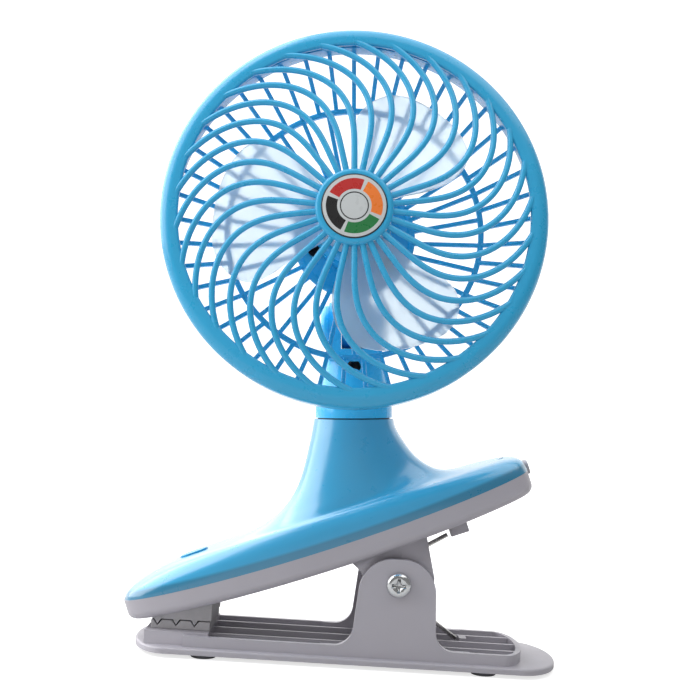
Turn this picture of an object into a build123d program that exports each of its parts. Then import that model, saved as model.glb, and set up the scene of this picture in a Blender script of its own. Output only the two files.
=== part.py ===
"""Clip fan: a spring clip with a flared neck that carries a swivelling, tilting caged fan head.

Millimetres, +Z up.  The origin lies on the flat underside of the lower jaw, where the neck's
swivel axis meets it.  +X runs along the clip to its handle end, and the jaws bite at the -X end.
The neck leans a little towards the toe: its parts are drawn upright and then leaned about Y.
"""
import math
import os

from build123d import *

# ---- general ----
plastic_wall = 2.0          # wall of the moulded covers
running_gap = 0.05          # radial gap of a shaft in its hole
joint_gap = 0.3             # gap between faces that slide past each other
screw_gap = 0.06            # radial gap round a screw in its hole
hidden_overlap = 0.6        # how far a boss or rib is sunk into the wall that carries it
overshoot = 1.0             # how far a cut runs past the face that it opens
round_slack = 0.1           # a full round stops this short of a half circle
same_place = 0.01           # corners closer than this to a height or point are the ones meant
jaw_reach = 60.0            # far enough from the parting chord to cut through either jaw half

# ---- lower jaw ----
base_toe_x = -88.5
base_tail_x = 81.0
base_half_width = 27.0
base_thickness = 2.4
base_toe_nose = 14.0        # length of the rounded toe end of the base
base_tail_nose = 16.0       # length of the rounded tail end of the base
base_edge_round = 0.9
wall_tail_x = 67.2
wall_toe_x = -67.0
wall_half_width = 24.0
wall_thickness = 2.2
wall_top_z = 6.6
wall_tail_nose = 9.0
toe_block_x = -82.5
toe_block_half_width = 21.5
toe_block_top_z = 7.6
floor_rib_width = 1.6
floor_rib_height = 3.8
floor_rib_offsets = (-12.8, 0.0, 12.8)
foot_radius = 5.0
foot_height = 1.6
foot_round = 0.5
foot_toe_x = -59.0
foot_tail_x = 50.5
foot_offset_y = 20.5

# ---- pivot ----
pivot_x = 15.5
pivot_z = 31.3
ear_half_width = 14.2
ear_rise = 9.8              # how far the ear stands above the pivot
ear_arch_radius = 13.2
ear_thickness = 3.2
ear_lean = 3.2              # how much further the ear's foot reaches than its top
ear_fillet = 7.5
bolt_radius = 2.5
bolt_head_radius = 5.0
bolt_head_height = 2.9
bolt_recess_width = 1.3
bolt_recess_span = 5.6
bolt_recess_depth = 1.7
bolt_tip_stand = 1.0        # how far the bolt's tip stands out of the nut
pan_head_share = 0.75       # share of a pan head's height that is rounded over
nut_flats = 8.0
nut_height = 4.0

# ---- upper jaw ----
jaw_toe = (-93.7, 16.5)     # toe tip of the parting line, in X and Z
jaw_tail = (65.4, 78.1)     # tail tip of the parting line, in X and Z
jaw_bow = 4.2               # how far the parting line sags below its chord
jaw_half_width = 24.5
jaw_outline_power = 4.2     # superellipse power of the jaw's outline
oval_points = 48            # points round one superellipse
housing_toe_depth = 8.2
housing_mid_depth = 8.4
housing_tail_depth = 8.4
housing_edge_round = 3.2
inner_ear_thickness = 3.0
inner_ear_radius = 14.0
inner_ear_toe_reach = 21.0   # how far the ear's root spreads from the pivot towards the toe
inner_ear_tail_reach = 1.0   # and towards the tail, high above the pivot
inner_ear_waist_rise = 3.0   # height over the pivot where the root starts to spread
inner_ear_root_rise = 9.0    # and where it is fully spread
inner_ear_fillet = 5.0
inner_ear_rise = 56.0       # how far over the pivot the ear is drawn before the housing trims it
inner_ear_drop = 90.0       # and how far under the parting chord it may reach

# ---- rows of the cover's form ----
# The crown's rows: how far the toe end draws in and how high it stands over the parting chord,
# the same for the tail end, how much narrower the row is, its power, and 1 where the inside
# follows below it.
crown_rows = (
    (0.0, -12.0, 0.0, -12.0, 0.0, jaw_outline_power, 0),
    (0.0, -8.0, 0.0, -8.0, 0.0, jaw_outline_power, 0),
    (0.0, -4.0, 0.0, -4.0, 0.0, jaw_outline_power, 0),
    (0.2, -0.5, 0.0, -0.3, 0.0, jaw_outline_power, 0),
    (2.2, 2.4, 0.4, 2.8, 0.4, 4.0, 1),
    (7.0, 4.6, 1.8, 5.0, 1.2, 3.8, 1),
    (14.0, 6.6, 5.6, 6.5, 2.2, 3.5, 1),
    (24.0, 8.0, 12.0, 7.2, 3.2, 3.2, 1),
    (36.0, 8.4, 20.0, 7.6, 4.2, 2.9, 1),
    (48.0, 8.6, 27.5, 8.5, 5.0, 2.6, 1),
    (58.5, 9.9, 33.5, 10.4, 5.6, 2.3, 1),
)
# The neck's rows: how far it flares to the toe and how far that is below the neck's top, the
# same to the tail, how far it flares sideways, and how much of the wall the inside sinks.
neck_rows = (
    (15.0, 38.9, 12.7, 18.1, 2.3, 1),
    (10.6, 34.0, 9.2, 15.4, 1.8, 0.6),
    (5.6, 24.3, 4.4, 9.5, 1.2, 0.2),
    (2.7, 13.6, 1.4, 4.6, 0.6, 0),
    (0.9, 5.2, 0.3, 1.5, 0.2, 0),
    (0.0, 0.0, 0.0, 0.0, 0.0, 0),
)

# ---- neck, swivel and stem ----
neck_lean = 3.5             # lean of the neck and all above it towards the toe, in degrees
neck_radius = 16.2
neck_top_z = 94.3
neck_ledge_height = 2.6
spigot_radius = 9.6
spigot_bore = 6.5
washer_height = 0.5
washer_inset = 1.0
retainer_radius = 12.6
retainer_height = 1.6
collar_radius = 15.7
collar_height = 6.5
stem_waist_z = 120.0
stem_waist_half_width = 11.7
stem_waist_half_depth = 10.0
stem_draw_width = 0.4       # how much the stem's sides draw in halfway up
stem_draw_depth = 0.8       # and its front and back
stem_bore_roof = 4.0        # solid left between the stem's bore and its waist
fork_root = 2.0             # how far the fork is sunk into the waist
tilt_z = 132.0
fork_radius = 10.0
fork_half_width = 10.0
lug_radius = 9.0
lug_half_width = 5.0
lug_side_gap = 0.2
tilt_bolt_radius = 2.0
tilt_bolt_head_radius = 3.6
tilt_bolt_head_height = 2.2
tilt_nut_flats = 7.0
tilt_cap_radius = 8.8
tilt_cap_height = 3.4
tilt_cap_wall = 1.0
tilt_cap_round = 2.6
tilt_nut_height = 2.2
retainer_screw_radius = 0.9
retainer_screw_head_radius = 1.6
retainer_screw_head_height = 1.0
retainer_screw_length = 6.0
retainer_screw_count = 4
retainer_screw_angle = 45.0 # where the first of them sits, in degrees
swivel_gap = 0.1            # between the washer and the neck, and under the neck's ledge
stem_screw_radius = 1.5
stem_screw_head_radius = 2.7
stem_screw_z = 115.5
stem_screw_head_stand = 1.0 # how far the head stands ahead of the waist
stem_screw_head_height = 1.8
stem_screw_tip = 6.0        # how far behind the stem's middle the screw ends

# ---- head ----
head_tilt = 7.2             # tilt of the fan axis above level at rest, in degrees
head_forward = 60.3         # from the tilt axis to the plane of the ring's largest radius
head_rise = 30.7            # from the tilt axis up to the fan axis, when level
ring_radius = 71.0
ring_wall = 2.0
ring_lip_radius = 64.0
ring_lip_height = 4.6
ring_lip_thickness = 2.4
ring_roll = 5.2
ring_join_depth = 10.0      # the front and rear rings meet this far behind the largest radius
ring_rear_depth = 21.0
ring_step = 0.6             # the rear ring is this much smaller than the front one
ring_spigot_height = 4.0
ring_spigot_wall = 1.6
ring_draft = 0.5            # how much each ring narrows towards its open end
ring_lip_round = 0.9
ring_inner_round = 2.8
rear_lip_radius = 66.0
rear_lip_thickness = 2.4
rear_lip_round = 2.5
spigot_fit = 0.2            # radial gap between the rear ring's spigot and the front ring
front_rib_count = 30
front_rib_radius = 1.15
front_rib_points = 9        # points along the curve of one front rib
rib_bite = 1.3              # how far a rib's ends are sunk into the hub and the ring
hub_radius = 14.1
hub_face_height = 12.7
hub_depth = 4.4
hub_round = 1.4
badge_radius = 11.8
badge_thickness = 0.8
badge_stand = 0.25
sweep_start_radius = 23.0   # the front ribs run straight out to here, then sweep round
sweep_end_radius = 60.0
sweep_angle = 25.8          # swing of a rib between those radii, in degrees
sweep_power = 2.35
dome_drop = 7.0             # how far the ribs fall back from the hub to the ring
dome_power = 2.2
outer_rib_count = 45
inner_rib_count = 30
rear_rib_width = 1.7
rear_rib_depth = 2.0
rear_ring_radius = 49.0
rear_ring_depth = 25.5
rear_ring_width = 2.2
rear_ring_height = 2.4
plate_radius = 24.0
plate_depth = 33.6
plate_thickness = 2.2
bracket_radius = 21.0
bracket_thickness = 2.2
bracket_arm_high = -1.0     # top and bottom of the arm's root, from the fan's axis
bracket_arm_low = -19.0
plate_screw_circle = 16.6
plate_screw_angle = 199.3   # where the first plate screw sits, in degrees
plate_screw_count = 3
plate_screw_radius = 1.4
plate_screw_head_radius = 2.3
plate_screw_head_height = 1.5
plate_screw_length = 4.0
plate_recess_span = 2.8
plate_recess_width = 0.7
plate_recess_depth = 0.9

# ---- motor and impeller ----
motor_radius = 12.5
motor_length = 19.0
motor_cup_radius = 14.0
motor_cup_wall = 1.4
motor_cup_hole = 2.6
shaft_radius = 1.0
shaft_stand = 13.0          # length of shaft that stands out of the motor
shaft_tail = 6.0            # length of shaft inside the motor
impeller_hub_radius = 12.2
impeller_hub_length = 15.0
impeller_hub_wall = 1.5
impeller_boss_radius = 3.0
impeller_boss_inset = 1.0   # from either end of the hub to the boss
impeller_hub_round = 2.5
impeller_gap = 1.2          # between the motor cup and the impeller hub
blade_count = 3
blade_thickness = 1.3
first_blade_angle = 54.0    # middle of the first blade, counted from the right, in degrees
blade_rows = (              # radius, depth of the middle, chord and pitch in degrees
    (6.0, -3.6, 24.0, 44.0),
    (20.0, -4.8, 40.0, 35.0),
    (32.0, -6.0, 54.0, 28.0),
    (44.0, -7.0, 56.0, 23.0),
    (55.0, -7.6, 56.0, 20.0),
)
blade_outline = (           # a blade seen from the front: outwards, then across it
    (6.0, 5.0), (12.0, 9.0), (24.0, 17.0), (38.0, 25.0), (49.5, 19.0), (52.4, 4.0),
    (49.0, -12.0), (40.0, -22.0), (30.0, -22.0), (18.0, -14.0), (12.0, -8.5), (6.0, -5.0),
)

# ---- grips ----
grip_toe_x = -80.8
grip_tail_x = -57.5
grip_half_width = 17.0
tooth_pitch = 7.3
tooth_count = 3
first_valley_x = -78.2      # where the first V between the teeth lies
valley_width = 3.4
valley_depth = 2.3
tooth_top_z = 11.0
upper_grip_shift = 0.4      # the upper grip lies this far towards the handle
grip_gap = 0.4

# ---- spring ----
wire_radius = 0.9
coil_radius = 6.0
coil_pitch = 2.5
coil_whole_turns = 6
lower_anchor = (42.0, 5.4)  # X and Z of the end of the lower leg
upper_anchor = (34.6, 50.2) # X and Z of the end of the upper leg
anchor_block_size = 3.0
saddle_length = 7.5         # length of the block under the housing behind the upper leg
gap_samples = 16            # points on each arc when the wire's own gap is measured
gap_skip = 6                # neighbouring arcs left out of that measure

# ---- inside the upper jaw ----
cell_radius = 9.1
cell_length = 65.0
cell_middle = 13.4          # where the cell's middle lies along the jaw
cell_height = 0.0
cradle_share = 0.35         # the cradles stand this share of the cell's length from its middle
cradle_side = 2.0           # how far a cradle reaches past the cell on each side
cradle_hold = 3             # a cradle ends this many-fold part of the radius below the cell's middle
contact_thickness = 0.5
contact_size = 12.0
board_thickness = 1.6
board_length = 30.0
board_half_width = 9.5
board_height = -2.6
socket_width = 7.6
socket_height = 3.0
socket_depth = 6.0
socket_wall = 0.35
socket_lip = 1.2
socket_lip_width = 1.3
socket_round = 1.0          # corner radius of the socket's shell
corner_share = 0.45         # most of a block's height that one corner may take
tongue_width = 4.56
tongue_thickness = 0.6
tongue_inset = 1.0          # how far the tongue's end lies inside the mouth
charge_post_inset = 2.375   # from the charging board's long edges to its posts
charge_post_toe_inset = 5.0 # and from its toe end
charge_post_tail_inset = 10.0
switch_post_inset = 2.7     # from the switch board's long edges to its posts
switch_post_end_inset = 3.0 # and from its ends
switch_board_length = 18.0
switch_board_half_width = 9.0
switch_size = 6.0
switch_height = 3.4
plunger_radius = 1.7
plunger_height = 1.0
button_place = -54.0        # where the button's middle lies along the jaw
button_length = 11.5
button_width = 8.5
button_stand = 0.7
button_depth = 3.0
button_travel = 0.8
lamp_place = 77.0
lamp_radius = 1.2
lamp_low = 4.6              # the lens's lower end, over the parting chord
lamp_stand = 0.25
case_screw_places = ((-46.0, 14.5), (-46.0, -14.5), (64.0, 13.5), (64.0, -13.5))
case_screw_radius = 1.2
case_screw_head_radius = 2.3
case_screw_head_height = 1.5
case_screw_length = 9.0
case_screw_tip_gap = 1.0    # depth of the hole past the screw's tip
case_recess_span = 2.6
case_recess_width = 0.6
case_recess_depth = 0.9
case_post_radius = 3.0
case_boss_radius = 3.6
case_boss_height = 5.0

# ---- worked out from the sizes above ----
jaw_angle = math.degrees(math.atan2(jaw_tail[1] - jaw_toe[1], jaw_tail[0] - jaw_toe[0]))
jaw_half_length = math.dist(jaw_toe, jaw_tail) / 2
jaw_middle = ((jaw_toe[0] + jaw_tail[0]) / 2, (jaw_toe[1] + jaw_tail[1]) / 2)
jaw_plane = Plane(
    origin=(jaw_middle[0], 0, jaw_middle[1]),
    x_dir=(jaw_tail[0] - jaw_toe[0], 0, jaw_tail[1] - jaw_toe[1]),
    z_dir=(jaw_toe[1] - jaw_tail[1], 0, jaw_tail[0] - jaw_toe[0]),
)
ear_inner_y = wall_half_width - ear_thickness
inner_ear_outer_y = ear_inner_y - joint_gap
collar_bottom_z = neck_top_z + washer_height
tilt_axis = Axis((0, 0, tilt_z), (1, 0, 0))
head_plane = Plane(
    origin=(0, -head_forward, tilt_z + head_rise), x_dir=(1, 0, 0), z_dir=(0, -1, 0)
)
motor_back = -plate_depth + plate_thickness / 2
motor_front = motor_back + motor_length
cup_front = motor_front + motor_cup_wall
impeller_back = cup_front + impeller_gap


# ---- helpers ----
def rod(radius, start, end):
    """A round bar from one point to another."""
    start = Vector(*start)
    along = Vector(*end) - start
    place = Plane(origin=start, z_dir=along)
    return place * Cylinder(radius, along.length, align=(Align.CENTER, Align.CENTER, Align.MIN))


def slab(sketch, low, high):
    """A flat sketch in its own plane, made solid between two heights above that plane."""
    return extrude(Pos(0, 0, low) * sketch, high - low)


def side_solid(sketch, low_y, high_y):
    """A sketch drawn in X and Z, made solid between two Y values."""
    flat = Plane(origin=(0, low_y, 0), x_dir=(1, 0, 0), z_dir=(0, -1, 0)) * sketch
    return extrude(flat, high_y - low_y, dir=(0, 1, 0))


def hexagon(across_flats):
    """The outline of a hexagon nut."""
    return RegularPolygon(across_flats / math.sqrt(3), 6)


def in_jaw(shape):
    """Carry a shape from the jaw's own plane to its place."""
    return jaw_plane * shape


def in_head(shape):
    """Carry a shape from the head's own plane, +Z forward, to its place at rest."""
    return on_stem((head_plane * shape).rotate(tilt_axis, -head_tilt))


def on_stem(shape):
    """Lean a shape drawn upright on the neck's axis to its place."""
    return shape.rotate(Axis.Y, -neck_lean)


def leaned_point(point):
    """A point in X and Z of the upright drawing, leaned to its place."""
    lean = math.radians(neck_lean)
    return (
        point[0] * math.cos(lean) - point[1] * math.sin(lean),
        point[0] * math.sin(lean) + point[1] * math.cos(lean),
    )


def save(node, shape):
    """Write one named piece."""
    export_step(shape, f"parts/{node}.step")


# ---- lower jaw ----
def nosed_outline(toe_x, tail_x, half_width, toe_nose, tail_nose):
    """A plan outline with straight sides and half-elliptic ends; a nose of 0 is square."""
    middle = Pos((toe_x + toe_nose + tail_x - tail_nose) / 2, 0)
    outline = middle * Rectangle(tail_x - tail_nose - toe_x - toe_nose, 2 * half_width)
    if toe_nose > 0:
        outline += Pos(toe_x + toe_nose, 0) * Ellipse(toe_nose, half_width)
    if tail_nose > 0:
        outline += Pos(tail_x - tail_nose, 0) * Ellipse(tail_nose, half_width)
    return outline


def outer_ear(low_y):
    """One ear: an arch over the pivot that flows into the wall's top edge."""
    left = pivot_x - ear_half_width
    right = pivot_x + ear_half_width
    far_left = left - 2 * ear_fillet
    far_right = right + 2 * ear_fillet
    top = pivot_z + ear_rise
    ear = Polygon(
        (far_left, base_thickness), (far_left, wall_top_z), (left - ear_lean, wall_top_z),
        (left, top), (right, top), (right + ear_lean / 2, wall_top_z),
        (far_right, wall_top_z), (far_right, base_thickness), align=None,
    )
    shoulders = [corner for corner in ear.vertices() if abs(corner.Y - top) < same_place]
    ear = fillet(shoulders, ear_arch_radius)
    feet = [
        corner for corner in ear.vertices()
        if abs(corner.Y - wall_top_z) < same_place
        and far_left + same_place < corner.X < far_right - same_place
    ]
    return side_solid(fillet(feet, ear_fillet), low_y, low_y + ear_thickness)


def lower_jaw():
    """The tray: base plate, side walls, toe block, ears, floor ribs and the spring's stop."""
    base = slab(
        nosed_outline(base_toe_x, base_tail_x, base_half_width, base_toe_nose, base_tail_nose),
        0, base_thickness,
    )
    base = fillet(base.edges().group_by(Axis.Z)[-1], base_edge_round)
    outer = nosed_outline(wall_toe_x, wall_tail_x, wall_half_width, 0, wall_tail_nose)
    inner = nosed_outline(
        grip_tail_x, wall_tail_x - wall_thickness, wall_half_width - wall_thickness,
        0, wall_tail_nose - wall_thickness,
    )
    walls = slab(outer - inner, base_thickness - hidden_overlap, wall_top_z)
    block = Pos((toe_block_x + grip_tail_x) / 2, 0) * Rectangle(
        grip_tail_x - toe_block_x, 2 * toe_block_half_width
    )
    jaw = base + walls + slab(block, base_thickness - hidden_overlap, toe_block_top_z)
    seat = Pos((grip_toe_x + grip_tail_x) / 2, 0) * Rectangle(
        grip_tail_x - grip_toe_x + 2 * screw_gap, 2 * (grip_half_width + screw_gap)
    )
    jaw -= slab(seat, toe_block_top_z, tooth_top_z)
    rib_end_x = wall_tail_x - wall_thickness
    for offset in floor_rib_offsets:
        rib = Pos((grip_tail_x + rib_end_x) / 2, offset) * Rectangle(
            rib_end_x - grip_tail_x + hidden_overlap, floor_rib_width
        )
        jaw += slab(rib, base_thickness - hidden_overlap, base_thickness + floor_rib_height)
    for side in (-1, 1):
        low_y = min(side * wall_half_width, side * ear_inner_y)
        jaw += outer_ear(low_y)
    jaw += lower_spring_stop()
    bore = rod(
        bolt_radius + running_gap,
        (pivot_x, -base_half_width, pivot_z), (pivot_x, base_half_width, pivot_z),
    )
    return jaw - bore


def lower_spring_stop():
    """A post on the tray's floor that the spring's lower leg bears against."""
    size = anchor_block_size
    top = lower_anchor[1] + wire_radius
    middle = Pos(lower_anchor[0] + wire_radius + joint_gap + size / 2, leg_offset(1))
    return slab(middle * Rectangle(size, 2 * size), base_thickness - hidden_overlap, top)


def rubber_feet():
    """Four thin round feet under the base."""
    feet = []
    for foot_x in (foot_toe_x, foot_tail_x):
        for foot_y in (-foot_offset_y, foot_offset_y):
            foot = Cylinder(foot_radius, foot_height, align=(Align.CENTER, Align.CENTER, Align.MAX))
            foot = fillet(foot.edges().group_by(Axis.Z)[0], foot_round)
            feet.append(Pos(foot_x, foot_y, 0) * foot)
    return Compound(children=feet)


# ---- pivot bolt and nut ----
def cross_recess(span, width, depth):
    """A cross cut into a screw's head, sunk from the plane z = 0."""
    bar = Box(span, width, depth, align=(Align.CENTER, Align.CENTER, Align.MAX))
    return bar + bar.rotate(Axis.Z, 90)


def pan_head(radius, height):
    """A pan head that stands on the plane z = 0, with its top edge rounded over."""
    head = Cylinder(radius, height, align=(Align.CENTER, Align.CENTER, Align.MIN))
    return fillet(head.edges().group_by(Axis.Z)[-1], pan_head_share * height)


def pivot_bolt():
    """The machine screw through all four ears, head on the near side."""
    head = pan_head(bolt_head_radius, bolt_head_height)
    recess = cross_recess(bolt_recess_span, bolt_recess_width, bolt_recess_depth)
    head -= Pos(0, 0, bolt_head_height) * recess
    place = Plane(origin=(pivot_x, -wall_half_width, pivot_z), x_dir=(1, 0, 0), z_dir=(0, -1, 0))
    shank = rod(
        bolt_radius, (pivot_x, -wall_half_width - bolt_head_height / 4, pivot_z),
        (pivot_x, wall_half_width + nut_height + bolt_tip_stand, pivot_z),
    )
    return place * head + shank


def pivot_nut():
    """The nut on the far ear."""
    blank = slab(hexagon(nut_flats), 0, nut_height)
    blank -= slab(Circle(bolt_radius + running_gap), -overshoot, nut_height + overshoot)
    place = Plane(origin=(pivot_x, wall_half_width, pivot_z), x_dir=(1, 0, 0), z_dir=(0, 1, 0))
    return place * blank


# ---- spring ----
def leg_offset(side):
    """How far from the middle the spring's leg on one side meets its stop, along Y."""
    return side * coil_pitch * coil_turn_count() / 2 + side * leg_drift()


def polar_from_pivot(anchor):
    """Distance and angle of a point in X and Z, seen from the pivot."""
    across = anchor[0] - pivot_x
    up = anchor[1] - pivot_z
    return math.hypot(across, up), math.atan2(up, across)


def coil_angles():
    """The angles at which the wire joins and leaves the coil, turning backwards."""
    far_low, angle_low = polar_from_pivot(lower_anchor)
    far_high, angle_high = polar_from_pivot(upper_anchor)
    start = angle_low - math.acos(coil_radius / far_low)
    end = angle_high + math.acos(coil_radius / far_high) - 2 * math.pi * coil_whole_turns
    return start, end


def coil_turn_count():
    """The number of turns between the two legs."""
    start, end = coil_angles()
    return (start - end) / (2 * math.pi)


def leg_drift():
    """How far a leg drifts sideways on its way from the coil to its stop."""
    far_low, _ = polar_from_pivot(lower_anchor)
    slope = coil_pitch / (2 * math.pi * coil_radius)
    return slope * math.sqrt(far_low**2 - coil_radius**2)


def coil_point(angle):
    """A point of the wire's centre line in the coil."""
    start, _ = coil_angles()
    length = coil_pitch * coil_turn_count()
    along = length / 2 - coil_pitch * (start - angle) / (2 * math.pi)
    return Vector(
        pivot_x + coil_radius * math.cos(angle), along, pivot_z + coil_radius * math.sin(angle)
    )


def coil_heading(angle):
    """The direction of the wire in the coil, as it turns backwards."""
    return Vector(
        coil_radius * math.sin(angle), -coil_pitch / (2 * math.pi), -coil_radius * math.cos(angle)
    ).normalized()


def biarc(start, start_heading, end, end_heading):
    """Two arcs that join two points with the given headings and share their own heading."""
    span = end - start
    both = start_heading + end_heading
    square = 2 * (1 - start_heading.dot(end_heading))
    linear = 2 * span.dot(both)
    reach = (-linear + math.sqrt(linear**2 + 4 * square * span.dot(span))) / (2 * square)
    first = start + start_heading * reach
    second = end - end_heading * reach
    joint = (first + second) / 2
    return [
        TangentArc(start, joint, tangent=start_heading),
        TangentArc(joint, end, tangent=(second - first).normalized()),
    ]


def spring_path():
    """The wire's centre line: lower leg, coil in quarter turns, upper leg."""
    start, end = coil_angles()
    steps = math.ceil((start - end) / (math.pi / 2))
    angles = [start + (end - start) * step / steps for step in range(steps + 1)]
    far_low, _ = polar_from_pivot(lower_anchor)
    far_high, _ = polar_from_pivot(upper_anchor)
    stretch = math.hypot(1, coil_pitch / (2 * math.pi * coil_radius))
    low_length = math.sqrt(far_low**2 - coil_radius**2) * stretch
    high_length = math.sqrt(far_high**2 - coil_radius**2) * stretch
    pieces = [Line(coil_point(start) - coil_heading(start) * low_length, coil_point(start))]
    for near, far in zip(angles, angles[1:]):
        pieces += biarc(coil_point(near), coil_heading(near), coil_point(far), coil_heading(far))
    pieces.append(Line(coil_point(end), coil_point(end) + coil_heading(end) * high_length))
    return pieces


def least_wire_gap(pieces):
    """The least gap between turns of the wire, measured on points of its centre line."""
    points = [piece @ (step / gap_samples) for piece in pieces for step in range(gap_samples)]
    skip = gap_skip * gap_samples
    least = math.inf
    for index, point in enumerate(points):
        for other in points[index + skip:]:
            least = min(least, (point - other).length)
    return least - 2 * wire_radius


def clip_spring():
    """The torsion spring: one round wire with a leg at each end."""
    pieces = spring_path()
    path = Wire([piece.edge() for piece in pieces])
    section = Plane(origin=pieces[0] @ 0, z_dir=pieces[0] % 0) * Circle(wire_radius)
    print("spring: turns %.2f, least gap %.2f mm" % (coil_turn_count(), least_wire_gap(pieces)))
    return sweep(section, path=path)


# ---- upper jaw ----
def bowed_line(toe_height, middle_height, tail_height):
    """A long arc in the jaw's own side view, through heights above the parting chord."""
    reach = jaw_half_length + jaw_half_width
    ratio = (reach / jaw_half_length) ** 2
    rise = (toe_height + tail_height) / 2 - middle_height
    slant = (tail_height - toe_height) / 2 * reach / jaw_half_length
    end = middle_height + rise * ratio
    return ThreePointArc((-reach, end - slant), (0, middle_height), (reach, end + slant))


def between_lines(low, high):
    """A block across the jaw between two bowed lines of its side view."""
    closing = [Line(low @ 1, high @ 1), Line(high @ 0, low @ 0)]
    face = make_face(Curve() + [low, high] + closing)
    across = Plane(origin=(0, 2 * jaw_half_width, 0), x_dir=(1, 0, 0), z_dir=(0, -1, 0))
    return extrude(across * face, 4 * jaw_half_width)


def jaw_oval(toe_s, tail_s, half_width, power):
    """A superellipse between two places along the jaw, as one closed curve."""
    middle = (toe_s + tail_s) / 2
    half = (tail_s - toe_s) / 2
    points = []
    for step in range(oval_points):
        turn = 2 * math.pi * step / oval_points
        along = math.copysign(abs(math.cos(turn)) ** (2 / power), math.cos(turn))
        across = math.copysign(abs(math.sin(turn)) ** (2 / power), math.sin(turn))
        points.append((middle + half * along, half_width * across))
    return make_face(Spline(points, periodic=True))


def parting_line():
    """The line between cover and housing."""
    return bowed_line(0, -jaw_bow, 0)


def far_below(reach):
    """A line that far under the parting line's shape, below all that is cut."""
    return bowed_line(-reach, -reach - jaw_bow, -reach)


def housing_line(lift):
    """The housing's underside, raised by a lift."""
    return bowed_line(
        lift - housing_toe_depth, lift - jaw_bow - housing_mid_depth, lift - housing_tail_depth
    )


def outline_prism(inset, low, high):
    """The jaw's outline, drawn in by an inset, between two heights over the parting chord."""
    outline = jaw_oval(
        inset - jaw_half_length, jaw_half_length - inset, jaw_half_width - inset, jaw_outline_power
    )
    return slab(outline, low, high)


def bowed_height(toe_height, middle_height, tail_height, along):
    """The height of a bowed line at a place along the jaw."""
    share = along / jaw_half_length
    rise = (toe_height + tail_height) / 2 - middle_height
    return middle_height + (tail_height - toe_height) / 2 * share + rise * share**2


def underside(along):
    """The height of the housing's underside at a place along the jaw."""
    return bowed_height(
        -housing_toe_depth, -jaw_bow - housing_mid_depth, -housing_tail_depth, along
    )


def to_jaw(point):
    """A point in X and Z, as its place along the jaw and its height over the chord."""
    local = jaw_plane.to_local_coords(Vector(point[0], 0, point[1]))
    return local.X, local.Z


def housing_shell():
    """The lower half of the upper jaw, open at the top."""
    deep = -2 * housing_toe_depth - jaw_bow
    outer = outline_prism(0, deep, jaw_bow) & between_lines(housing_line(0), parting_line())
    lowest = outer.faces().sort_by(Axis.Z)[0]
    outer = fillet(lowest.edges(), housing_edge_round)
    inner = outline_prism(plastic_wall, deep, 2 * jaw_bow)
    inner &= between_lines(housing_line(plastic_wall), bowed_line(jaw_bow, jaw_bow / 2, jaw_bow))
    return outer - inner


def inner_ear(low_y):
    """One of the housing's two ears, which turn on the pivot inside the lower jaw's ears."""
    left = pivot_x - inner_ear_radius
    right = pivot_x + inner_ear_radius
    bottom = pivot_z - inner_ear_radius
    waist = pivot_z + inner_ear_waist_rise
    root = pivot_z + inner_ear_root_rise
    high = pivot_z + inner_ear_rise
    ear = Polygon(
        (left, bottom), (left, waist), (pivot_x - inner_ear_toe_reach, root),
        (pivot_x - inner_ear_toe_reach, high), (pivot_x + inner_ear_tail_reach, high),
        (right, waist), (right, bottom), align=None,
    )
    low_corners = [spot for spot in ear.vertices() if abs(spot.Y - bottom) < same_place]
    ear = fillet(low_corners, inner_ear_radius - round_slack)
    inside_corner = [
        spot for spot in ear.vertices()
        if abs(spot.Y - waist) < same_place and spot.X < pivot_x
    ]
    ear = fillet(inside_corner, inner_ear_fillet)
    solid = jaw_plane.location.inverse() * side_solid(ear, low_y, low_y + inner_ear_thickness)
    return solid & between_lines(far_below(inner_ear_drop), housing_line(plastic_wall / 2))


def screw_boss(place):
    """A boss on the housing's floor round one case screw."""
    low = underside(place[0]) + hidden_overlap
    return Pos(place[0], place[1]) * slab(Circle(case_boss_radius), low, low + case_boss_height)


def screw_hole(place):
    """The counterbored hole for one case screw, cut from below."""
    low = underside(place[0])
    seat = low + joint_gap + case_screw_head_height
    hole = slab(Circle(case_screw_radius + screw_gap), low - overshoot, low + 4 * case_boss_height)
    hole += slab(Circle(case_screw_head_radius + joint_gap), low - overshoot, seat)
    return Pos(place[0], place[1]) * hole


def cell_cradle(along):
    """A rib across the housing's floor with a round seat for the cell."""
    low = underside(along) + hidden_overlap
    top = cell_height - cell_radius / cradle_hold
    width = 2 * (cell_radius + cradle_side)
    rib = Pos(along, 0, (low + top) / 2) * Box(plastic_wall, width, top - low)
    lying = Plane(origin=(along, 0, cell_height), z_dir=(1, 0, 0))
    return rib - lying * Cylinder(cell_radius, 3 * plastic_wall)


def board_post(along, across):
    """A post that carries a circuit board."""
    low = underside(along) + hidden_overlap
    return Pos(along, across) * slab(Circle(case_post_radius / 2), low, board_height)


def jaw_housing():
    """The housing with its ears, bosses, cell cradle, board posts, spring saddle and socket lip."""
    housing = housing_shell()
    for side in (-1, 1):
        low_y = min(side * inner_ear_outer_y, side * (inner_ear_outer_y - inner_ear_thickness))
        housing += inner_ear(low_y)
    for place in case_screw_places:
        housing += screw_boss(place)
    for place in case_screw_places:
        housing -= screw_hole(place)
    for share in (-cradle_share, cradle_share):
        housing += cell_cradle(cell_middle + share * cell_length)
    for place in board_post_places():
        housing += board_post(*place)
    housing += spring_saddle()
    lip = socket_block(socket_lip_width, jaw_half_length - plastic_wall / 2, socket_lip_end())
    housing += lip
    housing -= socket_block(screw_gap, 0, socket_lip_end() + overshoot)
    bore = rod(
        bolt_radius + running_gap,
        (pivot_x, -base_half_width, pivot_z), (pivot_x, base_half_width, pivot_z),
    )
    return in_jaw(housing) - bore


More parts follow.
